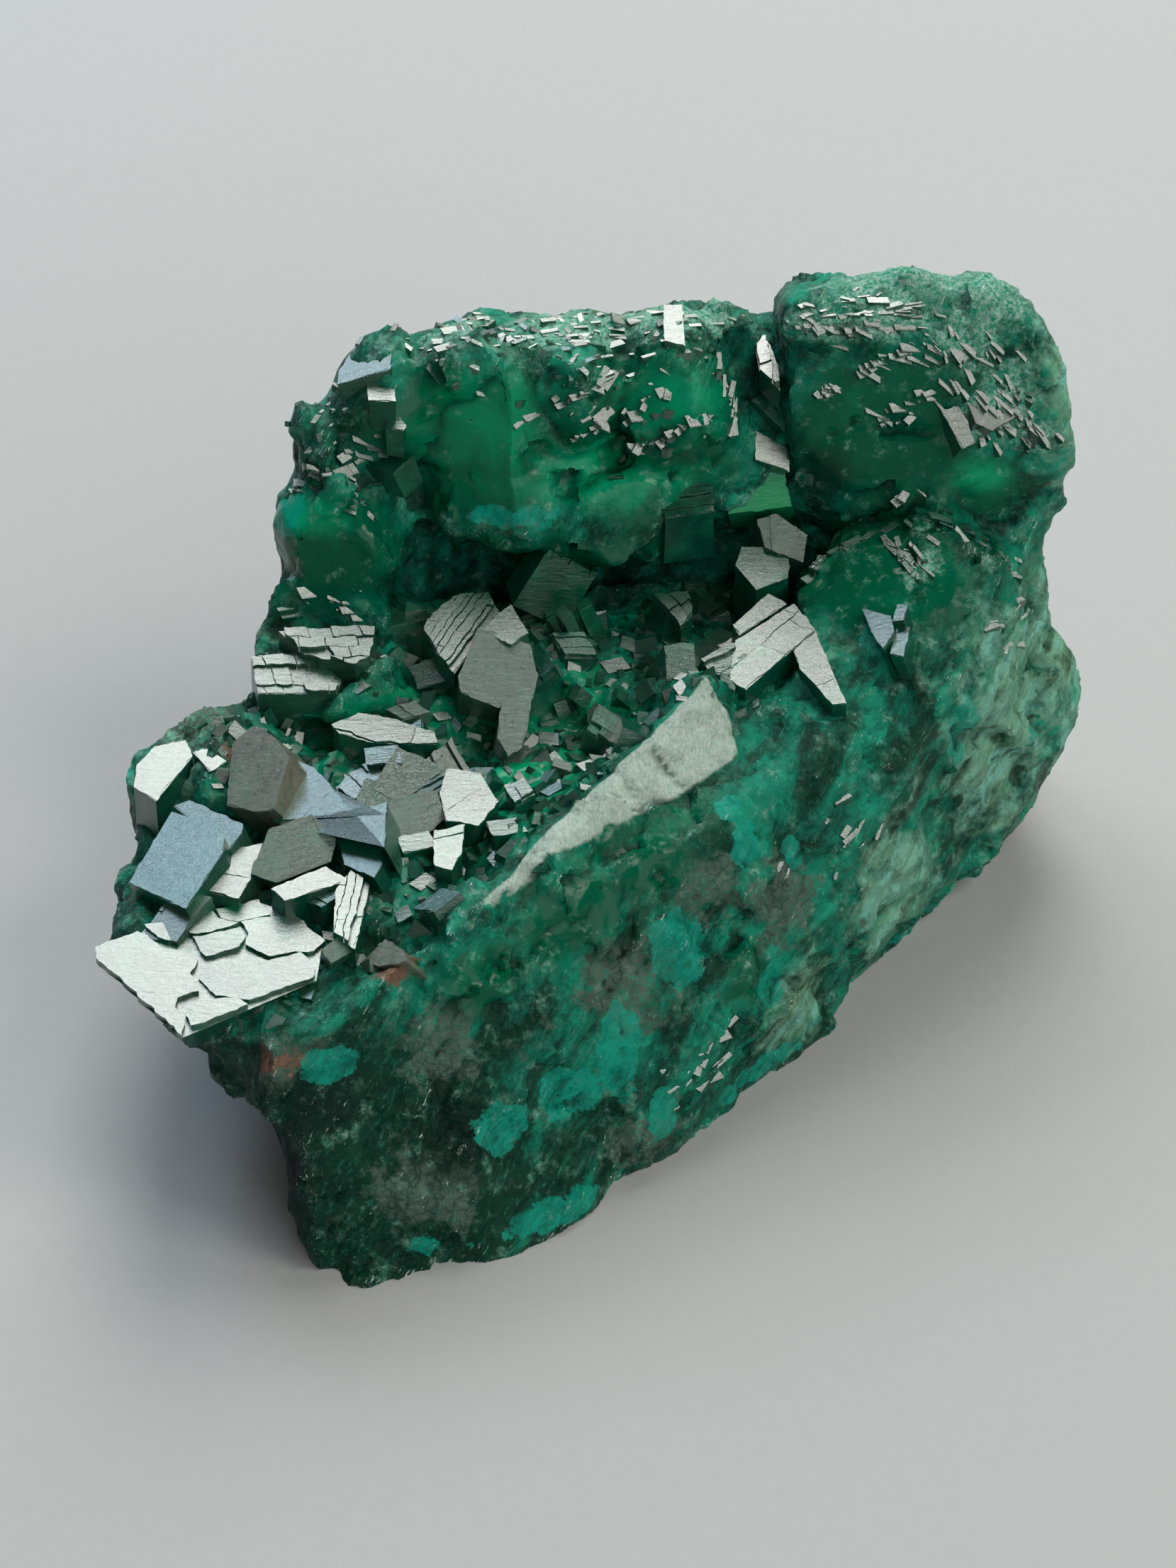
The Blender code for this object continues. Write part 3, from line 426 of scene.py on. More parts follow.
WEATHERED = [
    ((13.7, 1.7, 5.7), (4.2, 4.6, 5.5)),
    ((9.2, -3.2, 2.8), (3.0, 3.4, 3.0)),
    ((18.6, 8.2, 9.8), (5.0, 6.5, 9.0)),
    ((20.6, 13.4, 8.0), (4.5, 6.0, 9.0)),
    ((15.0, 18.6, 27.4), (6.0, 3.0, 1.6)),
    ((19.0, 19.4, 15.0), (3.4, 3.4, 8.0)),
    ((20.8, 16.5, 22.0), (2.6, 3.6, 6.0)),
    ((-1.0, 18.5, 25.4), (11.0, 3.2, 1.8)),
    ((-18.6, 3.4, 12.0), (4.6, 4.6, 1.6)),
]
GLASSY = [
    ((-5.5, 13.4, 21.0), (8.0, 5.5, 6.5)),
    ((2.5, 13.8, 21.0), (8.0, 5.5, 6.5)),
    ((-11.0, 11.0, 17.0), (5.5, 5.5, 5.0)),
    ((12.6, 14.0, 21.2), (8.0, 3.6, 8.0)),
    ((17.6, 13.4, 18.4), (4.0, 3.0, 2.6)),
    ((13.0, 10.6, 16.0), (8.5, 6.0, 3.4)),
    ((-2.0, 12.0, 15.0), (14.0, 5.0, 4.0)),
    ((-4.0, 2.0, 12.0), (16.0, 12.0, 3.0)),
    ((-0.7, -6.1, 11.0), (5.0, 4.0, 2.8)),
    ((2.6, -3.8, 11.6), (3.4, 3.0, 2.2)),
    ((-4.2, -9.2, 10.1), (3.0, 2.8, 2.4)),
    ((0.0, 20.0, 14.0), (6.0, 3.4, 5.4)),
    ((15.0, 20.4, 18.0), (5.6, 3.4, 5.0)),
    ((-8.6, 18.6, 9.0), (5.0, 3.4, 4.6)),
    ((-13.6, 5.0, 6.0), (3.0, 4.4, 3.6)),
    ((7.0, -4.8, 6.2), (2.2, 2.4, 2.4)),
]
GLOWING = [
    ((-4.8, 13.2, 22.6), (4.6, 4.0, 4.2)),
    ((4.1, 13.9, 23.4), (4.2, 4.0, 3.2)),
    ((-0.3, 13.6, 19.2), (7.0, 3.0, 2.0)),
    ((-12.4, 11.4, 18.6), (2.4, 2.6, 1.2)),
    ((17.6, 13.9, 18.8), (2.0, 2.0, 1.2)),
    ((-4.0, 3.0, 12.6), (13.0, 10.0, 1.3)),
]
CREST = [
    ((-1.0, 16.0, 24.6), (10.0, 4.0, 3.2)),
    ((-10.6, 14.4, 20.6), (3.2, 4.0, 2.6)),
    ((2.0, 13.2, 21.8), (4.6, 2.0, 2.4)),
]
# Pale crushed stone along the crest and the block's top, its sparkle painted as pale specks
CRUST_AND_GLINT_PATCHES = [
    ((13.0, 17.4, 27.2), (5.5, 3.0, 1.6)),
    ((17.6, 17.0, 26.4), (3.0, 3.0, 2.0)),
    ((10.2, 15.4, 25.8), (2.8, 1.8, 1.2)),
    ((13.6, 15.8, 26.2), (3.4, 1.8, 1.4)),
    ((16.5, 15.4, 25.2), (2.2, 1.8, 1.9)),
    ((18.6, 14.9, 22.6), (2.0, 2.0, 2.6)),
    ((17.4, 14.6, 21.8), (1.8, 1.4, 1.6)),
    ((19.8, 14.6, 20.6), (1.8, 1.8, 1.5)),
    ((14.6, 10.2, 16.8), (1.3, 1.4, 1.2)),
    ((-6.0, 16.1, 24.9), (3.0, 2.4, 1.2)),
    ((-1.7, 16.3, 25.0), (2.6, 2.0, 1.1)),
    ((1.2, 17.0, 25.0), (3.2, 2.0, 1.1)),
    ((4.6, 17.2, 25.2), (2.6, 1.8, 1.1)),
]
IRON = [
    ((7.2, 13.2, 16.4), (2.0, 1.8, 1.8)),
    ((-12.9, -12.6, 8.8), (2.2, 1.2, 1.0)),
    ((-7.8, -9.6, 11.2), (1.8, 1.3, 1.0)),
    ((-5.4, -7.4, 11.9), (1.6, 1.2, 1.0)),
    ((-14.9, 2.8, 13.0), (1.4, 1.2, 1.0)),
    ((-2.9, 12.7, 17.6), (1.5, 1.4, 1.3)),
    ((-6.8, 8.6, 13.4), (1.8, 1.4, 1.4)),
    ((1.0, 3.0, 12.8), (1.2, 1.2, 1.0)),
    ((-1.6, 20.6, 5.0), (1.8, 1.8, 1.6)),
    ((13.6, 20.4, 14.4), (1.4, 1.6, 1.2)),
]


def linear(code, alpha=1.0):
    """The linear colour of an sRGB hex code."""
    parts = [int(code[i:i + 2], 16) / 255 for i in (1, 3, 5)]
    return [p / 12.92 if p <= 0.04045 else ((p + 0.055) / 1.055) ** 2.4 for p in parts] + [alpha]


def colour_property(name, description, code):
    return FloatVectorProperty(
        name=name, description=description, default=linear(code), size=4, subtype="COLOR", min=0, max=1
    )


def length_property(name, description, millimetres):
    return FloatProperty(
        name=name, description=description, default=millimetres * MM, min=0, unit="LENGTH", precision=5
    )


class MassSettings(bpy.types.PropertyGroup):
    """Sizes and colours of the broken mass."""

    voxel: length_property("Voxel", "Edge of the finest cells that the mass is made of", 0.25)
    fibre_depth: length_property("Fibre depth", "How deep the fibrous grooves of the front are", 0.05)
    green: colour_property("Green", "Green of a broken face", "#067d62")
    # Also the green of the painted shade, low on the left of the front and on the back
    deep_green: colour_property("Deep green", "Green where the stone is thick and clear", "#013224")
    clear_green: colour_property("Clear green", "Green of the smooth, clear lumps", "#014f37")
    glow: colour_property("Glow", "Green where light comes through a lump", "#028f63")
    # Painted shade, for recesses and for the grooves between worn edges
    hollow: colour_property("Hollow", "Green in hollows", "#02221a")
    teal: colour_property("Teal", "Thin films of a paler copper mineral", "#048d76")
    iron: colour_property("Iron", "Rusty brown stain", "#68503f")
    brown: colour_property("Brown", "Brown-grey weathered patches", "#4a5f53")
    weathered: colour_property("Weathered", "Grey-green weathered rind", "#6aa896")
    olive: colour_property("Olive", "Yellower parts of the rind", "#6c9270")
    # Pale crushed stone, with painted glints
    crust_and_glints: colour_property("Crust", "Crushed stone along broken edges", "#97b8a9")
    fibre: colour_property("Fibre", "Silky fibres in the broken face", "#419e86")
    # Pale fibrous break: partly its own colour, partly painted sheen
    satin_sheen: colour_property("Satin", "Fibrous break on the ridge", "#a9b3a9")
    grain: colour_property("Grain", "Pale grains and splinters", "#c3d2c9")


class CrystalSettings(bpy.types.PropertyGroup):
    """Sizes and colours of the large crystals."""

    crack: length_property("Crack", "Width of the cracks between plates", 0.045)
    edge: length_property("Edge", "Width of the worn edge of a plate", 0.03)
    emerald: colour_property("Emerald", "Body colour of a clear crystal", "#013d2d")
    bright: colour_property("Bright emerald", "Where light comes through a crystal", "#086045")
    lit: colour_property("Lit emerald", "A crystal with the light behind it", "#0a8a55")
    frost: colour_property("Frost", "Colour of an etched face", "#374f42")
    rust: colour_property("Rust", "Brown film on some faces", "#786e5f")


class DruseSettings(bpy.types.PropertyGroup):
    """Sizes and number of the small crystals."""

    smallest: length_property("Smallest", "Edge of the smallest crystal of the druse", 0.22)
    largest: length_property("Largest", "Edge of the largest crystal of the druse", 1.0)
    spacing: length_property("Spacing", "Least distance between two crystals of the druse", 0.7)
    chip_spacing: length_property("Chip spacing", "Least distance between two chips of the crest", 0.55)
    seed: IntProperty(name="Seed", description="Seed of the scatter", default=SEED)


class StageSettings(bpy.types.PropertyGroup):
    """Floor, light and camera."""

    floor_width: length_property("Floor width", "Width of the floor", 1600)
    floor_colour: colour_property("Floor", "Colour of the floor", "#a2a4a3")
    key: FloatProperty(name="Key", description="Radiance of the softbox behind", default=8.5, min=0)
    side: FloatProperty(name="Side", description="Radiance of the cool softbox at the left", default=11.5, min=0)
    sheen: FloatProperty(name="Sheen", description="Radiance of the softbox high on the right", default=8.5, min=0)
    fill: FloatProperty(name="Fill", description="Radiance of the softbox by the camera", default=1.9, min=0)
    ambient: FloatProperty(name="Ambient", description="Strength of the surrounding light", default=0.12, min=0)


class SpecimenSettings(bpy.types.PropertyGroup):
    """All settings of the specimen."""

    mass: PointerProperty(type=MassSettings)
    crystals: PointerProperty(type=CrystalSettings)
    druse: PointerProperty(type=DruseSettings)
    stage: PointerProperty(type=StageSettings)


# Meshes


def object_from(name, bm):
    mesh = bpy.data.meshes.new(name)
    bm.to_mesh(mesh)
    bm.free()
    obj = bpy.data.objects.new(name, mesh)
    bpy.context.scene.collection.objects.link(obj)
    return obj


def settle(obj):
    """Replaces the object's mesh with the one its modifiers give."""
    graph = bpy.context.evaluated_depsgraph_get()
    made = bpy.data.meshes.new_from_object(obj.evaluated_get(graph))
    obj.modifiers.clear()
    obj.data = made


def finish_piece(obj, material):
    """Moves a piece from the lists' origin to the part's and says what it stands for."""
    obj.data.transform(Matrix.Translation(LIST_ORIGIN * MM))
    if material:
        obj.data.materials.clear()
        obj.data.materials.append(material)
    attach(obj, "root")
    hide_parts("dioptase")


def places_of(mesh):
    """Places of a mesh's vertices, in the lists' millimetres."""
    places = np.empty(len(mesh.vertices) * 3, np.float32)
    mesh.vertices.foreach_get("co", places)
    return places.reshape(-1, 3) / MM


def store(mesh, name, values):
    attribute = mesh.attributes.new(name, "FLOAT", "POINT")
    attribute.data.foreach_set("value", np.asarray(values, np.float32))


def nearness(places, patches):
    """How near each place is to a patch's centre: 1 there, 0 where the patch ends."""
    nearest = np.zeros(len(places))
    for centre, reach in patches:
        away = np.linalg.norm((places - np.array(centre)) / np.array(reach), axis=1)
        nearest = np.maximum(nearest, 1 - away)
    return nearest


def depth_inside(places, corners):
    """How far each place lies inside a convex outline seen from above, in millimetres."""
    ring = [Vector(corners[i]) for i in geometry.convex_hull_2d([Vector(c) for c in corners])]
    middle = sum(ring, Vector((0, 0))) / len(ring)
    depth = np.full(len(places), np.inf)
    for a, b in zip(ring, ring[1:] + ring[:1]):
        inward = Vector((a.y - b.y, b.x - a.x)).normalized()
        if inward.dot(middle - a) < 0:
            inward = -inward
        depth = np.minimum(depth, (places[:, :2] - np.array(a)) @ np.array(inward))
    return depth


def inside(corners, x, y):
    """Whether a place seen from above lies within the outline."""
    within = False
    for (ax, ay), (bx, by) in zip(corners, corners[1:] + corners[:1]):
        if (ay > y) != (by > y) and x < ax + (bx - ax) * (y - ay) / (by - ay):
            within = not within
    return within


# The broken mass


def add_block(bm, corners):
    """A broken block: the convex hull of its corners."""
    verts = [bm.verts.new(Vector(corner) * MM) for corner in corners]
    bmesh.ops.convex_hull(bm, input=verts)
    spare = [v for v in verts if not v.link_faces]
    bmesh.ops.delete(bm, geom=spare, context="VERTS")


def add_lump(bm, centre, radii):
    """A rounded lump: an icosphere stretched to three radii."""
    place = Matrix.Translation(Vector(centre) * MM) @ Matrix.Diagonal((*(Vector(radii) * MM), 1))
    bmesh.ops.create_icosphere(bm, subdivisions=4, radius=1, matrix=place)


def fuse(stone, voxel, smoothing_rounds):
    """Makes one even skin round everything that overlaps."""
    remesh = stone.modifiers.new("fuse", "REMESH")
    remesh.mode = "VOXEL"
    remesh.voxel_size = voxel
    smooth = stone.modifiers.new("smooth", "SMOOTH")
    smooth.iterations = smoothing_rounds
    settle(stone)


def chip_height(place, size):
    """Height of a stone broken into flat chips: each cell of the pattern leans its own way."""
    scaled = place / size
    middle = noise.voronoi(scaled)[1][0]
    lean = noise.cell_vector(middle * 9.7) - Vector((0.5, 0.5, 0.5))
    return (scaled - middle).dot(lean)


def pit_depth(place):
    """How far the nearest pit pulls the surface in, in millimetres."""
    deepest = 0.0
    for centre, radius, depth in PITS:
        reach = (place - Vector(centre)).length / radius
        if reach < 1:
            deepest = max(deepest, depth * (1 - reach * reach) ** 2)
    return deepest


def roughness_at(place):
    """1 on rough stone, down to 0.25 in the middle of a clean break."""
    least = 1.0
    for centre, radius in CLEAN_BREAKS:
        reach = (place - Vector(centre)).length / radius
        least = min(least, max(0.25, reach ** 2))
    return least


def displace(stone, height_at):
    """Moves each vertex along its normal by the height in millimetres that its place gives."""
    bm = bmesh.new()
    bm.from_mesh(stone.data)
    bm.normal_update()
    moves = [vert.normal * height_at(index, vert.co / MM) * MM for index, vert in enumerate(bm.verts)]
    for vert, move in zip(bm.verts, moves):
        vert.co += move
    bm.to_mesh(stone.data)
    bm.free()


def large_breaks(_, place):
    waves = sum(noise.noise(place / size) * swing for size, swing in WAVES)
    chips = sum(chip_height(place, size) * swing for size, swing in CHIPS)
    return waves + chips * roughness_at(place) - pit_depth(place)


def along_grain(place):
    """The place with its distance along the grain shortened, so that chips come out long."""
    return place - GRAIN * place.dot(GRAIN) * 0.7


def calmness(places):
    """1 in the smoother patches, 3 to 4 mm across, that lie between the rough ones."""
    return np.array([min(1, max(0, noise.noise(Vector(place) / 3.2) * 3 + 0.25)) for place in places])


def fine_breaks(stone, fibre_depth):
    """Small chips, facets where the stone is clear, and splinters and fibres that run down the front."""
    places = places_of(stone.data)
    glassy = np.clip(nearness(places, GLASSY) * 2.2, 0, 0.9)
    rough = (1 - glassy) * (1 - 0.75 * calmness(places))
    front = np.clip((6 - places[:, 1]) / 8, 0, 1) * np.clip((13.5 - places[:, 2]) / 3, 0, 1)
    right_end = np.clip((places[:, 0] - 15) / 3, 0, 1) * np.clip((18 - places[:, 2]) / 2, 0, 1)
    upright = np.maximum(front, right_end)

    def height(index, place):
        chips = sum(chip_height(place, size) * swing for size, swing in SMALL_CHIPS)
        chips *= roughness_at(place) * rough[index] * (1 - 0.65 * upright[index])
        facets = sum(chip_height(place, size) * swing for size, swing in FACETS) * glassy[index]
        size, swing = SPLINTERS
        splinters = chip_height(along_grain(place), size) * swing
        fibre = noise.noise(along_grain(place) / 0.5) * fibre_depth / MM
        return chips + facets + (splinters + fibre) * upright[index]

    displace(stone, height)


def break_flat(stone):
    """Cuts the skin back to the planes that the stone broke along."""
    planes = [(Vector(place), Vector(facing).normalized(), reach) for place, facing, reach in FLAT_BREAKS]
    bm = bmesh.new()
    bm.from_mesh(stone.data)
    for vert in bm.verts:
        for place, facing, reach in planes:
            out = vert.co / MM - place
            above = out.dot(facing)
            aside = (out - facing * above).length
            ragged_reach = reach * (1 + 0.4 * noise.noise(out / 2.2))
            if 0 < above < 2.2 and aside < ragged_reach:
                vert.co -= facing * above * min(1, (ragged_reach - aside) / 1.1) * MM
    bm.to_mesh(stone.data)
    bm.free()


def cut_foot(stone):
    """Cuts the stone flat at Z 0, where it stands."""
    bm = bmesh.new()
    bm.from_mesh(stone.data)
    everything = bm.verts[:] + bm.edges[:] + bm.faces[:]
    bmesh.ops.bisect_plane(
        bm, geom=everything, dist=1e-6, plane_co=(0, 0, 0), plane_no=(0, 0, -1), clear_outer=True
    )
    rim = [edge for edge in bm.edges if edge.is_boundary]
    bmesh.ops.holes_fill(bm, edges=rim, sides=0)
    bmesh.ops.triangulate(bm, faces=[face for face in bm.faces if len(face.verts) > 4])
    bmesh.ops.recalc_face_normals(bm, faces=bm.faces)
    bm.to_mesh(stone.data)
    bm.free()


def keep_largest_skin(stone):
    """Drops the inner skins of gaps that are closed all round."""
    bm = bmesh.new()
    bm.from_mesh(stone.data)
    left = set(bm.verts)
    skins = []
    while left:
        skin = {left.pop()}
        rim = list(skin)
        while rim:
            fresh = {edge.other_vert(vert) for vert in rim for edge in vert.link_edges} & left
            left -= fresh
            skin |= fresh
            rim = list(fresh)
        skins.append(skin)
    skins.sort(key=len)
    bmesh.ops.delete(bm, geom=[vert for skin in skins[:-1] for vert in skin], context="VERTS")
    bm.to_mesh(stone.data)
    bm.free()


def relief_of(mesh, rounds=8):
    """How far each vertex stands out of its smoothed surroundings: 1 is a sharp edge, -1 a groove."""
    places = places_of(mesh)
    normals = np.empty(len(mesh.vertices) * 3, np.float32)
    mesh.vertices.foreach_get("normal", normals)
    ends = np.empty(len(mesh.edges) * 2, np.int32)
    mesh.edges.foreach_get("vertices", ends)
    ends = ends.reshape(-1, 2)
    count = np.bincount(ends.ravel(), minlength=len(places))
    smooth = places.copy()
    for _ in range(rounds):
        total = np.zeros_like(smooth)
        np.add.at(total, ends[:, 0], smooth[ends[:, 1]])
        np.add.at(total, ends[:, 1], smooth[ends[:, 0]])
        smooth = (smooth + total / count[:, None]) / 2
    out = ((places - smooth) * normals.reshape(-1, 3)).sum(axis=1)
    return np.clip(out / 0.12, -1, 1)


def paint_places(mesh):
    """Stores on the mesh where its patches are, for the material and the scatters to read."""
    places = places_of(mesh)
    normals = np.empty(len(mesh.vertices) * 3, np.float32)
    mesh.vertices.foreach_get("normal", normals)
    upward = normals.reshape(-1, 3)[:, 2]
    for name, patches in (
        ("teal", TEAL), ("brown", BROWN), ("hollow", PAINTED_SHADE_PATCHES), ("weathered", WEATHERED), ("glassy", GLASSY),
        ("glow", GLOWING), ("crust_and_glints", CRUST_AND_GLINT_PATCHES), ("iron", IRON),
    ):
        store(mesh, name, nearness(places, patches))
    store(mesh, "relief", relief_of(mesh))
    # Painted shade: the green is darkened low on the left of the front, and less strongly on the back under the wall
    low = np.clip((11 - places[:, 2]) / 6, 0, 1) * np.clip((6 - places[:, 1]) / 6, 0, 1)
    back = np.clip((places[:, 1] - 16.5) / 2.5, 0, 1) * np.clip((24 - places[:, 2]) / 2, 0, 1)
    store(mesh, "shaded", np.maximum(low * np.clip((1 - places[:, 0]) / 8, 0, 1), back * 0.6))
    # Painted sheen on the fibrous break, fading towards the line at its foot
    satin_sheen = np.clip(depth_inside(places, SATIN_BREAK) / 0.4 + 0.5, 0, 1)
    satin_sheen *= (places[:, 2] > 11.8) * np.clip(upward * 2, 0, 1)
    start, end = (np.array(corner) for corner in SATIN_FOOT)
    away = (places[:, :2] - start) @ np.array((start[1] - end[1], end[0] - start[0])) / np.linalg.norm(end - start)
    store(mesh, "satin_sheen", satin_sheen * np.clip(0.5 + away / 2.4, 0, 1))
    ledge = np.clip(depth_inside(places, DRUSE) / 1.5, 0, 1) * (satin_sheen < 0.1)
    ledge *= np.clip(upward * 1.6 - 0.3, 0, 1) * (places[:, 2] > 8.5) * (places[:, 2] < 16.5)
    store(mesh, "druse", ledge)
    crest = np.clip(nearness(places, CREST) * 2, 0, 1) * np.clip(upward * 1.6 + 0.4, 0, 1)
    clumps = np.array([noise.noise(Vector(place) / 1.6) for place in places])
    store(mesh, "crest", crest * np.clip(clumps * 4 + 0.3, 0, 1))


def build_mass(settings):
    bm = bmesh.new()
    for corners in BLOCKS:
        add_block(bm, corners)
    for centre, radii in LUMPS:
        add_lump(bm, centre, radii)
    stone = object_from("broken_mass", bm)
    fuse(stone, COARSE_VOXEL * MM, 2)
    displace(stone, large_breaks)
    fuse(stone, settings.voxel, 1)
    fine_breaks(stone, settings.fibre_depth)
    break_flat(stone)
    keep_largest_skin(stone)
    cut_foot(stone)
    stone.data.shade_smooth()
    stone.data.set_sharp_from_angle(angle=math.radians(38))
    paint_places(stone.data)
    return stone


# Crystals


def clip(outline, normal, limit):
    """The part of a convex outline on the near side of a line."""
    kept = []
    for a, b in zip(outline, outline[1:] + outline[:1]):
        from_a, from_b = a.dot(normal) - limit, b.dot(normal) - limit
        if from_a <= 0:
            kept.append(a)
        if from_a * from_b < 0:
            kept.append(a.lerp(b, from_a / (from_a - from_b)))
    return kept


def area_of(outline):
    return abs(sum(a.cross(b) for a, b in zip(outline, outline[1:] + outline[:1]))) / 2


def cuts(low, high, spacing, chance):
    """Places that divide a length into pieces of uneven size."""
    places = [low]
    while places[-1] < high:
        places.append(places[-1] + spacing * chance.uniform(0.55, 1.5))
    return list(zip(places, places[1:]))


def plates_of(outline, breakage, crack, chance):
    """Breaks a top into courses along its longest side, and each course into plates."""
    width, length, _ = breakage
    sides = [b - a for a, b in zip(outline, outline[1:] + outline[:1])]
    along = max(sides, key=lambda side: side.length).normalized()
    across = Vector((-along.y, along.x))
    turn = CLEAVAGE_ANGLE - math.pi / 2
    slant = along * math.cos(turn) + across * math.sin(turn)
    courses = [corner.dot(across) for corner in outline]
    runs = [corner.dot(slant) for corner in outline]
    made = []
    for low, high in cuts(min(courses), max(courses), width, chance):
        course = clip(clip(outline, across, high - crack / 2), -across, -low - crack / 2)
        for start, end in cuts(min(runs) - chance.uniform(0, length), max(runs), length, chance):
            plate = clip(clip(course, slant, end - crack / 2), -slant, -start - crack / 2)
            if len(plate) > 2 and area_of(plate) > 0.04:
                made.append(plate)
    return made


def ragged(outline, spacing=0.2, swing=0.1):
    """The outline with points added along it and moved by noise, so that neighbours still meet."""
    made = []
    for a, b in zip(outline, outline[1:] + outline[:1]):
        steps = max(1, round((b - a).length / spacing))
        for i in range(steps):
            place = a.lerp(b, i / steps)
            push = noise.noise_vector(place.to_3d() * 1.6).xy + noise.noise_vector(place.to_3d() * 4.1).xy * 0.7
            made.append(place + push * swing)
    return made


def add_prism(bm, top, bottom):
    """A solid between two rings of places with the same number of corners."""
    upper = [bm.verts.new(place * MM) for place in top]
    lower = [bm.verts.new(place * MM) for place in bottom]
    bm.faces.new(upper)
    bm.faces.new(lower[::-1])
    for i in range(len(upper)):
        j = (i + 1) % len(upper)
        bm.faces.new((upper[i], lower[i], lower[j], upper[j]))
    return upper + lower


def add_crystal(bm, finish, corners, height, slope, form, breakage, crack, chance):
    """A crystal whose flat top is broken into plates at slightly different heights."""
    depth, foot_size = form
    step = breakage[2]
    ring = [Vector(corners[i]) for i in geometry.convex_hull_2d([Vector(c) for c in corners])]
    middle = sum((Vector(corner) for corner in corners), Vector((0, 0))) / len(corners)
    slope = Vector(slope)
    up = Vector((*slope, 1)).normalized()
    if area_of(ring) and sum(a.cross(b) for a, b in zip(ring, ring[1:] + ring[:1])) < 0:
        ring.reverse()

    def raised(corner, drop):
        out = corner - middle
        return Vector((*corner, height - out.dot(slope))) - up * drop

    core = 0.9 * step + 0.03
    foot = [raised(corner, depth) + (corner - middle).to_3d() * (foot_size - 1) for corner in ring]
    verts = add_prism(bm, [raised(corner, core) for corner in ring], foot)
    plates = TIP_PLATES if breakage is MOSAIC else plates_of(ring, breakage, crack, chance)
    for plate in plates:
        plate = [Vector(corner) for corner in plate]
        if form is not TINY:
            plate = ragged(plate)
        drop = step * chance.random() ** 2
        lean = Vector((chance.gauss(0, 0.012), chance.gauss(0, 0.012)))
        heart = sum(plate, Vector((0, 0))) / len(plate)
        top = [raised(corner, drop + (corner - heart).dot(lean)) for corner in plate]
        base = [place - up * (core - drop + 0.15) for place in top]
        verts += add_prism(bm, top, base)
    for vert in verts:
        vert[finish["frost"]], vert[finish["rust"]], vert[finish["light"]] = finish["now"]


def parallelogram(x, y, length, width, turn):
    """Corners of a slanting four-sided crystal top, with its middle at x, y."""
    along = Vector((math.cos(turn), math.sin(turn))) * length / 2
    across = Vector((math.cos(turn + CLEAVAGE_ANGLE), math.sin(turn + CLEAVAGE_ANGLE))) * width / 2
    middle = Vector((x, y))
    return [middle + along + across, middle - along + across, middle - along - across, middle + along - across]


def small_rows(surface):
    """Rows like those of CRYSTALS for the small crystals scattered over the ledge."""
    chance = random.Random(SEED)
    looks = random.Random(SEED + 1)
    rows = []
    while len(rows) < SMALL_CRYSTALS:
        x, y = chance.uniform(-19, 10), chance.uniform(-12, 14)
        if not inside(DRUSE, x, y) or any(inside(row[0], x, y) for row in CRYSTALS):
            continue
        ground = surface.ray_cast(Vector((x, y, 15.5)) * MM, Vector((0, 0, -1)))[0]
        if ground is None:
            continue
        length = chance.uniform(*SMALL_LENGTH)
        corners = parallelogram(x, y, length, length * chance.uniform(0.6, 1), chance.uniform(0, math.pi))
        slope = (chance.gauss(0, 0.3), chance.gauss(0, 0.3))
        height = ground.z / MM + chance.uniform(0.4, 1.1)
        breakage = looks.choice([WHOLE, CRACKED, STRIPED, CRUMBLED])
        finish = looks.choices([CLEAR, ETCHED, MATT, RUSTY], [6, 2, 1, 1])[0]
        rows.append((corners, height, slope, BLOCKY, breakage, finish))
    return rows


def trail_rows(surface):
    """Rows like those of CRYSTALS for the tiny crystals of TRAILS, set on the surface."""
    chance = random.Random(SEED + 2)
    rows = []
    for start, end, stray, number in TRAILS:
        along = math.atan2(end[1] - start[1] + (end[2] - start[2]) * 0.6, end[0] - start[0])
        for _ in range(number):
            aside = Vector([chance.gauss(0, stray) for _ in range(3)])
            place = Vector(start).lerp(Vector(end), chance.random()) + aside
            ground, facing = surface.find_nearest(place * MM)[:2]
            length = chance.uniform(0.2, 1.0)
            width = length * chance.uniform(0.15, 0.45)
            turn = along + chance.gauss(0, 0.3)
            corners = parallelogram(ground.x / MM, ground.y / MM, length, width, turn)
            lie = FORWARD if facing.z > 0.55 else RIGHT
            slope = (lie[0] + chance.gauss(0, 0.04), lie[1] + chance.gauss(0, 0.04))
            finish = chance.choices([CLEAR, ETCHED], [5, 1])[0]
            rows.append((corners, ground.z / MM + chance.uniform(0.02, 0.12), slope, TINY, WHOLE, finish))
    return rows


def build_crystals(mass, settings):
    bm = bmesh.new()
    bm.from_mesh(mass.data)
    surface = BVHTree.FromBMesh(bm)
    bm.free()
    chance = random.Random(SEED)
    noise.seed_set(SEED)  # the noise along the plates' outlines would start from the clock
    bm = bmesh.new()
    finish = {name: bm.verts.layers.float.new(name) for name in ("frost", "rust", "light")}
    for corners, height, slope, form, breakage, face in CRYSTALS + small_rows(surface) + trail_rows(surface):
        finish["now"] = face
        add_crystal(bm, finish, corners, height, slope, form, breakage, settings.crack / MM, chance)
    bmesh.ops.recalc_face_normals(bm, faces=bm.faces)
    crystals = object_from("large_crystals", bm)
    edge = crystals.modifiers.new("edge", "BEVEL")
    edge.width = settings.edge
    edge.segments = 1
    edge.limit_method = "ANGLE"
    edge.angle_limit = math.radians(30)
    settle(crystals)
    return crystals


# Materials


def first(sockets, name):
    """The socket in use with that name, or at that number."""
    if isinstance(name, int):
        return sockets[name]
    return next(socket for socket in sockets if socket.name == name and socket.enabled)


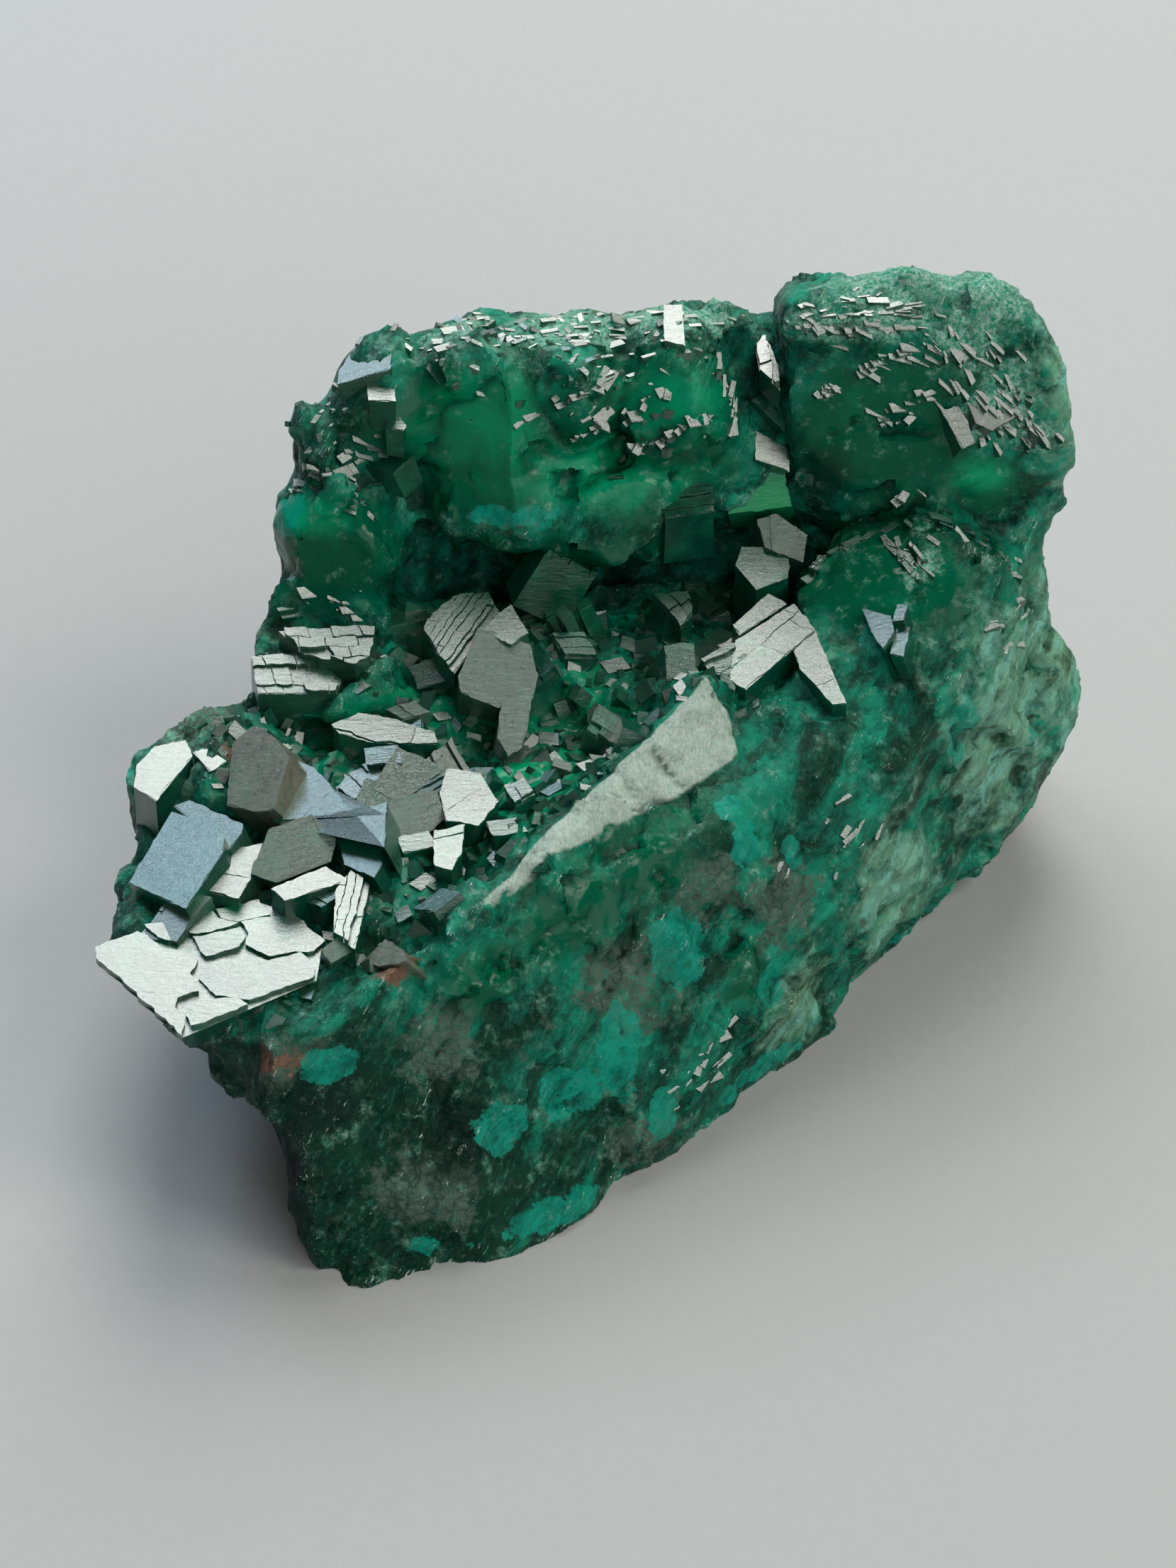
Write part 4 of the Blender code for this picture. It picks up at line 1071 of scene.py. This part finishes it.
def add(tree, kind, inputs=None, **settings):
    """Adds a node with its settings. An input is a value, a socket, or a node to link from."""
    made = tree.nodes.new(kind)
    for name, value in settings.items():
        setattr(made, name, value)
    for name, value in (inputs or {}).items():
        if isinstance(value, bpy.types.Node):
            value = next(socket for socket in value.outputs if socket.enabled)
        if isinstance(value, bpy.types.NodeSocket):
            tree.links.new(value, first(made.inputs, name))
        else:
            first(made.inputs, name).default_value = value
    return made


def new_material(name):
    """A material with its shader and the piece's own coordinates in millimetres."""
    material = bpy.data.materials.new(name)
    material.use_nodes = True
    tree = material.node_tree
    shader = tree.nodes["Principled BSDF"]
    own = add(tree, "ShaderNodeTexCoord")
    places = add(tree, "ShaderNodeMapping", {"Vector": own.outputs["Object"], "Scale": (1 / MM,) * 3})
    return material, tree, shader, places


def ragged_patch(tree, places, name, grain, raggedness=1.2, edge=0.08):
    """Mask of the patches that the attribute gives, with an edge as ragged as noise of that grain."""
    near = add(tree, "ShaderNodeAttribute", attribute_name=name)
    rough = add(tree, "ShaderNodeTexNoise", {"Vector": places, "Scale": 1 / grain, "Detail": 5.0, "Roughness": 0.65})
    uneven = add(tree, "ShaderNodeMath", {0: rough, 1: raggedness, 2: near.outputs["Fac"]}, operation="MULTIPLY_ADD")
    middle = 0.4 + raggedness / 2
    return add(
        tree, "ShaderNodeMapRange", {"Value": uneven, "From Min": middle - edge, "From Max": middle + edge},
        interpolation_type="SMOOTHSTEP",
    )


def drawn_out(tree, places, width, length):
    """Coordinates in which a unit is as wide as given across the grain and as long as given along it."""
    along = add(tree, "ShaderNodeVectorMath", {0: places, 1: GRAIN}, operation="DOT_PRODUCT")
    pull = add(
        tree, "ShaderNodeMath", {0: along.outputs["Value"], 1: 1 / length - 1 / width}, operation="MULTIPLY"
    )
    moved = add(tree, "ShaderNodeVectorMath", {0: GRAIN, "Scale": pull}, operation="SCALE")
    return add(
        tree, "ShaderNodeVectorMath", {0: places, 1: (1 / width,) * 3, 2: moved}, operation="MULTIPLY_ADD"
    )


def leaning_cells(tree, places, size):
    """Height of a surface broken into flat grains of that size, each leaning its own way."""
    cell = add(tree, "ShaderNodeTexVoronoi", {"Vector": places, "Scale": 1 / size})
    scaled = add(tree, "ShaderNodeVectorMath", {0: places, "Scale": 1 / size}, operation="SCALE")
    out = add(tree, "ShaderNodeVectorMath", {0: scaled, 1: cell.outputs["Position"]}, operation="SUBTRACT")
    lean = add(tree, "ShaderNodeVectorMath", {0: cell.outputs["Color"], 1: (0.5, 0.5, 0.5)}, operation="SUBTRACT")
    height = add(tree, "ShaderNodeVectorMath", {0: out, 1: lean}, operation="DOT_PRODUCT")
    return add(tree, "ShaderNodeMath", {0: height.outputs["Value"], 1: size}, operation="MULTIPLY"), cell


def mass_material(s):
    """Massive dioptase, broken: a glassy green copper silicate, with painted shade low on the left of the front, on
    the back, in recesses and in grooves, matt fibrous breaks, one of them paler with a painted sheen, pale films of
    other copper minerals and a grey-green weathered rind."""
    material, tree, shader, places = new_material("broken massive dioptase")

    mottle = add(
        tree, "ShaderNodeTexNoise",
        {"Vector": drawn_out(tree, places, 2.4, 6.0), "Scale": 1.0, "Detail": 9.0, "Roughness": 0.7,
         "Distortion": 0.5},
    )
    # Painted shade: where this mask is high the mottling leans towards the deep green
    shaded = add(tree, "ShaderNodeAttribute", attribute_name="shaded")
    mottle = add(
        tree, "ShaderNodeMath", {0: shaded.outputs["Fac"], 1: -0.2, 2: mottle}, operation="MULTIPLY_ADD"
    )
    mottling = add(
        tree, "ShaderNodeMapRange", {"Value": mottle, "From Min": 0.4, "From Max": 0.6},
        interpolation_type="SMOOTHSTEP",
    )
    colour = add(
        tree, "ShaderNodeMix", {"Factor": mottling, "A": s.deep_green, "B": s.green}, data_type="RGBA"
    )

    # Fibres about 0.2 mm wide and 1.6 mm long
    down = drawn_out(tree, places, 0.2, 1.6)
    streak = add(tree, "ShaderNodeTexNoise", {"Vector": down, "Scale": 1.0, "Detail": 7.0, "Roughness": 0.75})
    streaks = add(
        tree, "ShaderNodeMapRange", {"Value": streak, "From Min": 0.54, "From Max": 0.74, "To Max": 0.45}
    )
    colour = add(tree, "ShaderNodeMix", {"Factor": streaks, "A": colour, "B": s.fibre}, data_type="RGBA")

    # Weathered rind: olive and grey-green in bands along the grain
    bands = drawn_out(tree, places, 1.0, 7.0)
    turn = add(tree, "ShaderNodeTexNoise", {"Vector": bands, "Scale": 1.0, "Detail": 8.0, "Roughness": 0.72})
    turning = add(tree, "ShaderNodeMapRange", {"Value": turn, "From Min": 0.4, "From Max": 0.6})
    rind = add(tree, "ShaderNodeMix", {"Factor": turning, "A": s.olive, "B": s.weathered}, data_type="RGBA")
    wearing = add(tree, "ShaderNodeMapRange", {"Value": turn, "From Min": 0.36, "From Max": 0.5, "To Min": 0.3})
    worn = add(tree, "ShaderNodeMix", {"Factor": wearing, "A": colour, "B": rind}, data_type="RGBA")
    weathered = ragged_patch(tree, places, "weathered", 1.3, 2.2, 0.3)
    colour = add(tree, "ShaderNodeMix", {"Factor": weathered, "A": colour, "B": worn}, data_type="RGBA")

    # Brown patches are crazed into pieces about 0.5 mm across
    bent = add(tree, "ShaderNodeTexNoise", {"Vector": places, "Scale": 1.5, "Detail": 4.0})
    warped = add(
        tree, "ShaderNodeVectorMath", {0: bent.outputs["Color"], 1: (0.9, 0.9, 0.9), 2: places},
        operation="MULTIPLY_ADD",
    )
    craze = add(
        tree, "ShaderNodeTexVoronoi", {"Vector": warped, "Scale": 1 / 0.5}, feature="DISTANCE_TO_EDGE"
    )
    crazing = add(
        tree, "ShaderNodeMapRange", {"Value": craze, "From Min": 0.0, "From Max": 0.12, "To Min": 0.3}
    )
    brown = ragged_patch(tree, places, "brown", 1.1, 2.2, 0.16)
    browning = add(tree, "ShaderNodeMath", {0: brown, 1: crazing}, operation="MULTIPLY")
    colour = add(tree, "ShaderNodeMix", {"Factor": browning, "A": colour, "B": s.brown}, data_type="RGBA")

    # Smooth clear stone: dark, with light coming through in clouds
    deep = add(
        tree, "ShaderNodeTexNoise",
        {"Vector": places, "Scale": 1 / 3.5, "Detail": 6.0, "Roughness": 0.6, "Distortion": 1.0},
    )
    glow = add(tree, "ShaderNodeAttribute", attribute_name="glow")
    lit = add(tree, "ShaderNodeMath", {0: glow.outputs["Fac"], 1: 0.6, 2: deep}, operation="MULTIPLY_ADD")
    lighting = add(
        tree, "ShaderNodeMapRange", {"Value": lit, "From Min": 0.5, "From Max": 1.1},
        interpolation_type="SMOOTHSTEP",
    )
    clear = add(tree, "ShaderNodeMix", {"Factor": lighting, "A": s.clear_green, "B": s.glow}, data_type="RGBA")
    glassy = ragged_patch(tree, places, "glassy", 1.6, 0.8, 0.25)
    colour = add(tree, "ShaderNodeMix", {"Factor": glassy, "A": colour, "B": clear}, data_type="RGBA")

    # Painted shade in recesses
    hollow = ragged_patch(tree, places, "hollow", 1.4, 0.9, 0.45)
    colour = add(tree, "ShaderNodeMix", {"Factor": hollow, "A": colour, "B": s.hollow}, data_type="RGBA")

    # Grains about 0.6 and 0.3 mm across, each a little lighter or darker than the next
    coarse, coarse_cell = leaning_cells(tree, warped, 0.6)
    fine, _ = leaning_cells(tree, warped, 0.28)
    tone = add(tree, "ShaderNodeSeparateColor", {"Color": coarse_cell.outputs["Color"]})
    tones = add(tree, "ShaderNodeMapRange", {"Value": tone, "To Min": 0.75, "To Max": 1.25})
    grainy = add(tree, "ShaderNodeVectorMath", {0: colour, "Scale": tones}, operation="SCALE")
    colour = add(
        tree, "ShaderNodeMix", {"Factor": glassy, "A": grainy.outputs["Vector"], "B": colour}, data_type="RGBA"
    )

    # Crushed stone in grains about 0.2 mm across, pale partly in its own colour and partly as painted glints for its
    # sparkle
    crushed = add(tree, "ShaderNodeTexNoise", {"Vector": places, "Scale": 5.0, "Detail": 5.0, "Roughness": 0.8})
    crushing = add(tree, "ShaderNodeMapRange", {"Value": crushed, "From Min": 0.42, "From Max": 0.62})
    pale = add(tree, "ShaderNodeMix", {"Factor": crushing, "A": s.green, "B": s.crust_and_glints}, data_type="RGBA")
    crust_and_glints = ragged_patch(tree, places, "crust_and_glints", 0.9, 2.2, 0.3)
    colour = add(tree, "ShaderNodeMix", {"Factor": crust_and_glints, "A": colour, "B": pale}, data_type="RGBA")

    iron = ragged_patch(tree, places, "iron", 0.6, 1.4, 0.12)
    colour = add(tree, "ShaderNodeMix", {"Factor": iron, "A": colour, "B": s.iron}, data_type="RGBA")

    # Fibrous break on the ridge, pale partly from its own fibres and partly from a painted sheen, in fibres about 0.1
    # mm wide
    lean = add(
        tree, "ShaderNodeMapping", {"Vector": places, "Rotation": (0.3, 0.4, 0.5), "Scale": (10.0, 3.0, 6.0)}
    )
    fibre = add(tree, "ShaderNodeTexNoise", {"Vector": lean, "Scale": 1.0, "Detail": 5.0, "Roughness": 0.8})
    fibres = add(
        tree, "ShaderNodeMapRange", {"Value": fibre, "From Min": 0.3, "From Max": 0.6, "To Min": 0.35}
    )
    silk = add(tree, "ShaderNodeMix", {"Factor": fibres, "A": s.green, "B": s.satin_sheen}, data_type="RGBA")
    satin_sheen = ragged_patch(tree, places, "satin_sheen", 0.7, 0.6, 0.12)
    colour = add(tree, "ShaderNodeMix", {"Factor": satin_sheen, "A": colour, "B": silk}, data_type="RGBA")

    # Films are thin at their edges and mottled, so the green shows through
    film = add(tree, "ShaderNodeMapRange", {"Value": streak, "From Min": 0.34, "From Max": 0.62, "To Min": 0.35})
    teal = ragged_patch(tree, places, "teal", 1.1, 1.0, 0.03)
    filmed = add(tree, "ShaderNodeMath", {0: teal, 1: film}, operation="MULTIPLY")
    colour = add(tree, "ShaderNodeMix", {"Factor": filmed, "A": colour, "B": s.teal}, data_type="RGBA")

    # Worn edges are pale with splinters, and the grooves between them are darkened with painted shade
    relief = add(tree, "ShaderNodeAttribute", attribute_name="relief")
    groove = add(
        tree, "ShaderNodeMapRange",
        {"Value": relief.outputs["Fac"], "From Min": -0.15, "From Max": -1.0, "To Max": 0.8},
    )
    colour = add(tree, "ShaderNodeMix", {"Factor": groove, "A": colour, "B": s.hollow}, data_type="RGBA")
    grain = add(tree, "ShaderNodeTexNoise", {"Vector": down, "Scale": 2.0, "Detail": 4.0, "Roughness": 0.8})
    ridge = add(tree, "ShaderNodeMath", {0: relief.outputs["Fac"], 1: 0.12, 2: grain}, operation="MULTIPLY_ADD")
    grains = add(
        tree, "ShaderNodeMapRange", {"Value": ridge, "From Min": 0.68, "From Max": 0.76, "To Max": 0.9}
    )
    dull = add(tree, "ShaderNodeMapRange", {"Value": glassy, "To Min": 1.0, "To Max": 0.12})
    splinters = add(tree, "ShaderNodeMath", {0: grains, 1: dull}, operation="MULTIPLY")
    colour = add(tree, "ShaderNodeMix", {"Factor": splinters, "A": colour, "B": s.grain}, data_type="RGBA")
    tree.links.new(first(colour.outputs, "Result"), shader.inputs["Base Color"])

    # Glassy where the stone is clear, satin on the ridge, matt on the rind
    matt = add(tree, "ShaderNodeMath", {0: weathered, 1: brown}, operation="MAXIMUM")
    rough = add(tree, "ShaderNodeMapRange", {"Value": matt, "To Min": 0.32, "To Max": 0.6})
    rough = add(tree, "ShaderNodeMix", {"Factor": glassy, "A": rough, "B": 0.09})
    rough = add(tree, "ShaderNodeMix", {"Factor": satin_sheen, "A": rough, "B": 0.4})
    tree.links.new(first(rough.outputs, "Result"), shader.inputs["Roughness"])
    shader.inputs["IOR"].default_value = 1.67
    shader.inputs["Specular IOR Level"].default_value = 0.09

    # Facets too small for the mesh, flatter where the stone is clear
    both = add(tree, "ShaderNodeMath", {0: coarse, 1: fine}, operation="ADD")
    fuzz = add(tree, "ShaderNodeMath", {0: streak, 1: 0.2, 2: both}, operation="MULTIPLY_ADD")
    strength = add(tree, "ShaderNodeMapRange", {"Value": glassy, "To Min": 0.6, "To Max": 0.06})
    bump = add(tree, "ShaderNodeBump", {"Height": fuzz, "Strength": strength, "Distance": MM})
    tree.links.new(bump.outputs["Normal"], shader.inputs["Normal"])
    return material


def crystal_material(s):
    """Dioptase crystal: glassy faces that mirror the light like dark green glass, some of them
    etched to a grey bloom and some with a thin brown film."""
    material, tree, shader, places = new_material("dioptase crystal")
    frost = add(tree, "ShaderNodeAttribute", attribute_name="frost")
    rust = add(tree, "ShaderNodeAttribute", attribute_name="rust")
    speckle = add(tree, "ShaderNodeTexNoise", {"Vector": places, "Scale": 1 / 0.35, "Detail": 6.0, "Roughness": 0.75})
    speckles = add(tree, "ShaderNodeMapRange", {"Value": speckle, "From Min": 0.35, "From Max": 0.65, "To Min": 0.4})
    bloom = add(tree, "ShaderNodeMath", {0: frost.outputs["Fac"], 1: speckles}, operation="MULTIPLY")
    film = add(
        tree, "ShaderNodeMix", {"Factor": rust.outputs["Fac"], "A": s.frost, "B": s.rust}, data_type="RGBA"
    )
    inner = add(tree, "ShaderNodeTexNoise", {"Vector": places, "Scale": 1 / 2.4, "Detail": 4.0, "Distortion": 1.0})
    inside = add(
        tree, "ShaderNodeMapRange", {"Value": inner, "From Min": 0.42, "From Max": 0.8},
        interpolation_type="SMOOTHSTEP",
    )
    body = add(tree, "ShaderNodeMix", {"Factor": inside, "A": s.emerald, "B": s.bright}, data_type="RGBA")
    light = add(tree, "ShaderNodeAttribute", attribute_name="light")
    body = add(tree, "ShaderNodeMix", {"Factor": light.outputs["Fac"], "A": body, "B": s.lit}, data_type="RGBA")
    colour = add(tree, "ShaderNodeMix", {"Factor": bloom, "A": body, "B": film}, data_type="RGBA")
    tree.links.new(first(colour.outputs, "Result"), shader.inputs["Base Color"])

    # Etched flecks about 0.15 mm long break the mirror of a clear face
    flecks = add(tree, "ShaderNodeMapping", {"Vector": places, "Rotation": (0, 0, 0.35), "Scale": (3.0, 8.0, 8.0)})
    fleck = add(tree, "ShaderNodeTexNoise", {"Vector": flecks, "Scale": 1.0, "Detail": 4.0, "Roughness": 0.7})
    fleck = add(tree, "ShaderNodeMapRange", {"Value": fleck, "From Min": 0.64, "From Max": 0.7, "To Max": 0.7})
    rough = add(tree, "ShaderNodeMapRange", {"Value": bloom, "To Min": 0.12, "To Max": 0.5})
    rough = add(tree, "ShaderNodeMix", {"Factor": fleck, "A": rough, "B": 0.75})
    tree.links.new(rough.outputs[0], shader.inputs["Roughness"])
    shader.inputs["IOR"].default_value = 1.67
    shader.inputs["Specular IOR Level"].default_value = 0.9

    # Short growth lines and pits, about 0.2 mm apart
    lines = add(tree, "ShaderNodeMapping", {"Vector": places, "Rotation": (0, 0, 0.35), "Scale": (0.7, 3.0, 3.0)})
    line = add(tree, "ShaderNodeTexNoise", {"Vector": lines, "Scale": 1.6, "Detail": 6.0, "Roughness": 0.7})
    bump = add(tree, "ShaderNodeBump", {"Height": line, "Strength": 0.5, "Distance": 0.07 * MM})
    tree.links.new(bump.outputs["Normal"], shader.inputs["Normal"])
    return material


# Scattered small crystals


def scatter_tree(material):
    """Scatters slanting little blocks over a surface where its attribute is high."""
    tree = bpy.data.node_groups.new("scattered crystals", "GeometryNodeTree")
    face = tree.interface
    face.new_socket("Geometry", in_out="INPUT", socket_type="NodeSocketGeometry")
    for name, kind in (
        ("Where", "NodeSocketFloat"), ("Spacing", "NodeSocketFloat"), ("Smallest", "NodeSocketFloat"),
        ("Largest", "NodeSocketFloat"), ("Narrow", "NodeSocketFloat"), ("Tilt", "NodeSocketFloat"),
        ("Frosted", "NodeSocketFloat"), ("Seed", "NodeSocketInt"),
    ):
        face.new_socket(name, in_out="INPUT", socket_type=kind)
    face.new_socket("Geometry", in_out="OUTPUT", socket_type="NodeSocketGeometry")
    given = add(tree, "NodeGroupInput").outputs
    seed = given["Seed"]

    points = add(
        tree, "GeometryNodeDistributePointsOnFaces",
        {"Mesh": given["Geometry"], "Distance Min": given["Spacing"], "Density Max": 2.5e7,
         "Density Factor": given["Where"], "Seed": seed},
        distribute_method="POISSON",
    )

    # One little block, pushed over to the cleavage angle
    block = add(tree, "GeometryNodeMeshCube", {"Size": (1.0, 0.8, 1.2)})
    corner = add(tree, "ShaderNodeSeparateXYZ", {"Vector": add(tree, "GeometryNodeInputPosition")})
    lean = 1 / math.tan(CLEAVAGE_ANGLE)
    pushed = add(tree, "ShaderNodeMath", {0: corner.outputs["Y"], 1: lean}, operation="MULTIPLY")
    raised = add(tree, "ShaderNodeMath", {0: corner.outputs["X"], 1: -lean}, operation="MULTIPLY")
    sunk = add(tree, "ShaderNodeMath", {0: raised, 1: -0.42}, operation="ADD")
    push = add(tree, "ShaderNodeCombineXYZ", {"X": pushed, "Z": sunk})
    block = add(tree, "GeometryNodeSetPosition", {"Geometry": block.outputs["Mesh"], "Offset": push})

    size = add(
        tree, "FunctionNodeRandomValue",
        {"Min": given["Smallest"], "Max": given["Largest"], "Seed": seed, "ID": add(tree, "GeometryNodeInputIndex")},
        data_type="FLOAT",
    )
    narrow = add(tree, "ShaderNodeMath", {0: size, 1: given["Narrow"]}, operation="MULTIPLY")
    scale = add(tree, "ShaderNodeCombineXYZ", {"X": size, "Y": narrow, "Z": narrow})
    tilt = given["Tilt"]
    back = add(tree, "ShaderNodeMath", {0: tilt, 1: -1.0}, operation="MULTIPLY")
    lowest = add(tree, "ShaderNodeCombineXYZ", {"X": back, "Y": back, "Z": 0.0})
    highest = add(tree, "ShaderNodeCombineXYZ", {"X": tilt, "Y": tilt, "Z": 2 * math.pi})
    later = add(tree, "ShaderNodeMath", {0: seed, 1: 1.0}, operation="ADD")
    turn = add(
        tree, "FunctionNodeRandomValue", {"Min": lowest, "Max": highest, "Seed": later}, data_type="FLOAT_VECTOR"
    )
    turned = add(tree, "FunctionNodeEulerToRotation", {"Euler": turn})
    crystals = add(
        tree, "GeometryNodeInstanceOnPoints",
        {"Points": points.outputs["Points"], "Instance": block, "Rotation": turned, "Scale": scale},
    )
    bloom = add(tree, "FunctionNodeRandomValue", {"Seed": seed}, data_type="FLOAT")
    frosted = add(tree, "ShaderNodeMath", {0: bloom, 1: given["Frosted"]}, operation="LESS_THAN")
    crystals = add(
        tree, "GeometryNodeStoreNamedAttribute",
        {"Geometry": crystals.outputs["Instances"], "Name": "frost", "Value": frosted},
        data_type="FLOAT", domain="INSTANCE",
    )
    real = add(tree, "GeometryNodeRealizeInstances", {"Geometry": crystals})
    coated = add(tree, "GeometryNodeSetMaterial", {"Geometry": real, "Material": material})
    add(tree, "NodeGroupOutput", {"Geometry": coated})
    return tree


def scatter(name, mass, tree, values):
    """A plain mesh of the crystals that the tree scatters over the mass."""
    mesh = mass.data.copy()
    mesh.transform(Matrix.Translation(-LIST_ORIGIN * MM))
    obj = bpy.data.objects.new(name, mesh)
    bpy.context.scene.collection.objects.link(obj)
    modifier = obj.modifiers.new("scatter", "NODES")
    modifier.node_group = tree
    for item in tree.interface.items_tree:
        if item.in_out == "INPUT" and item.name in values:
            value = values[item.name]
            if isinstance(value, str):
                modifier[item.identifier + "_use_attribute"] = True
                modifier[item.identifier + "_attribute_name"] = value
            else:
                modifier[item.identifier] = value
    settle(obj)
    return obj


# Stage


def aim(obj, place, target):
    """Puts a light or the camera at a place, looking at the target."""
    obj.location = place
    obj.rotation_mode = "QUATERNION"
    obj.rotation_quaternion = (target - place).to_track_quat("-Z", "Y")


def add_softbox(name, direction, target, size, colour, radiance):
    """A light 0.4 m away, as wide and tall as given, as bright as the radiance says."""
    light = bpy.data.lights.new(name, "AREA")
    light.shape = "RECTANGLE"
    light.size, light.size_y = size
    light.color = colour[:3]
    light.energy = radiance * math.pi * size[0] * size[1]
    obj = bpy.data.objects.new(name, light)
    bpy.context.scene.collection.objects.link(obj)
    aim(obj, target + Vector(direction).normalized() * 0.4, target)


def floor_material(colour):
    """Matt paper: pale, with a faint tooth, so that it throws soft light and mirrors nothing."""
    material, tree, shader, places = new_material("matt paper")
    tooth = add(tree, "ShaderNodeTexNoise", {"Vector": places, "Scale": 1 / 0.6, "Detail": 3.0})
    shade = add(tree, "ShaderNodeMapRange", {"Value": tooth, "To Min": 0.97, "To Max": 1.03})
    tinted = add(tree, "ShaderNodeVectorMath", {0: colour[:3], "Scale": shade}, operation="SCALE")
    tree.links.new(tinted.outputs["Vector"], shader.inputs["Base Color"])
    shader.inputs["Roughness"].default_value = 0.95
    shader.inputs["Specular IOR Level"].default_value = 0.1
    return material


# Operators


class DIOPTASE_OT_mass(bpy.types.Operator):
    """Build the broken mass of the stone"""

    bl_idname = "dioptase.mass"
    bl_label = "Broken Mass"

    def execute(self, context):
        settings = context.scene.dioptase.mass
        mass = build_mass(settings)
        finish_piece(mass, mass_material(settings))
        return {"FINISHED"}


class DIOPTASE_OT_crystals(bpy.types.Operator):
    """Build the large crystals on the ledge and the wall"""

    bl_idname = "dioptase.crystals"
    bl_label = "Large Crystals"

    def execute(self, context):
        settings = context.scene.dioptase.crystals
        mass = bpy.data.objects["broken_mass"]
        ground = mass.copy()
        ground.data = mass.data.copy()
        ground.data.transform(Matrix.Translation(-LIST_ORIGIN * MM))
        crystals = build_crystals(ground, settings)
        bpy.data.objects.remove(ground)
        finish_piece(crystals, crystal_material(settings))
        return {"FINISHED"}


class DIOPTASE_OT_druse(bpy.types.Operator):
    """Scatter the small crystals of the druse and the chips of the crest"""

    bl_idname = "dioptase.druse"
    bl_label = "Druse"

    def execute(self, context):
        settings = context.scene.dioptase.druse
        mass = bpy.data.objects["broken_mass"]
        tree = scatter_tree(bpy.data.materials["dioptase crystal"])
        druse = scatter("druse_crystals", mass, tree, {
            "Where": "druse", "Spacing": settings.spacing, "Smallest": settings.smallest,
            "Largest": settings.largest, "Narrow": 0.85, "Tilt": 0.6, "Frosted": 0.1, "Seed": settings.seed,
        })
        finish_piece(druse, None)
        chips = scatter("crest_chips", mass, tree, {
            "Where": "crest", "Spacing": settings.chip_spacing, "Smallest": settings.smallest,
            "Largest": settings.largest * 0.7, "Narrow": 0.5, "Tilt": 0.3, "Frosted": 0.4,
            "Seed": settings.seed + 5,
        })
        finish_piece(chips, None)
        return {"FINISHED"}


class DIOPTASE_OT_stage(bpy.types.Operator):
    """Set up the floor, the lights and the camera"""

    bl_idname = "dioptase.stage"
    bl_label = "Stage"

    def execute(self, context):
        settings = context.scene.dioptase.stage
        scene = context.scene
        target = (LIST_ORIGIN + Vector((0, 0, 13))) * MM

        half = settings.floor_width / 2
        bm = bmesh.new()
        bm.faces.new([bm.verts.new((x * half, y * half, 0)) for x, y in ((-1, -1), (1, -1), (1, 1), (-1, 1))])
        floor = object_from("floor", bm)
        floor.data.materials.append(floor_material(settings.floor_colour))

        add_softbox("key", (0.02, 0.66, 0.75), target, (0.2, 0.34), linear("#fffdf8"), settings.key)
        add_softbox("side", (-0.45, 0.6, 0.66), target, (0.12, 0.14), linear("#c6e2fb"), settings.side)
        add_softbox("sheen", (0.58, -0.15, 0.78), target, (0.15, 0.15), linear("#fffaf0"), settings.sheen)
        add_softbox("fill", (0.45, -0.85, 0.5), target, (0.4, 0.4), linear("#ffffff"), settings.fill)

        world = bpy.data.worlds.new("studio")
        world.use_nodes = True
        surround = world.node_tree.nodes["Background"]
        surround.inputs["Color"].default_value = linear("#f4f6f8")
        surround.inputs["Strength"].default_value = settings.ambient
        scene.world = world
        scene.view_settings.view_transform = "Standard"

        camera = bpy.data.objects.new("camera", bpy.data.cameras.new("camera"))
        scene.collection.objects.link(camera)
        camera.data.lens = 108
        camera.data.sensor_width = 36
        camera.data.clip_start = 0.01
        elevation = math.radians(40)
        aim(camera, target + Vector((0, -math.cos(elevation), math.sin(elevation))) * 0.2, target)
        scene.camera = camera
        return {"FINISHED"}


class VIEW3D_PT_dioptase(bpy.types.Panel):
    """Settings and steps of the specimen"""

    bl_label = "Dioptase Specimen"
    bl_category = "Dioptase"
    bl_space_type = "VIEW_3D"
    bl_region_type = "UI"

    def draw(self, context):
        settings = context.scene.dioptase
        for group, operator in (
            (settings.mass, "dioptase.mass"), (settings.crystals, "dioptase.crystals"),
            (settings.druse, "dioptase.druse"), (settings.stage, "dioptase.stage"),
        ):
            box = self.layout.box()
            for name in group.bl_rna.properties.keys():
                if name not in ("rna_type", "name"):
                    box.prop(group, name)
            box.operator(operator)


CLASSES = (
    MassSettings, CrystalSettings, DruseSettings, StageSettings, SpecimenSettings,
    DIOPTASE_OT_mass, DIOPTASE_OT_crystals, DIOPTASE_OT_druse, DIOPTASE_OT_stage, VIEW3D_PT_dioptase,
)


def register():
    for cls in CLASSES:
        bpy.utils.register_class(cls)
    bpy.types.Scene.dioptase = PointerProperty(type=SpecimenSettings)


def unregister():
    del bpy.types.Scene.dioptase
    for cls in reversed(CLASSES):
        bpy.utils.unregister_class(cls)


def main():
    register()
    bpy.ops.dioptase.mass()
    bpy.ops.dioptase.crystals()
    bpy.ops.dioptase.druse()
    bpy.ops.dioptase.stage()


if __name__ == "__main__":
    main()
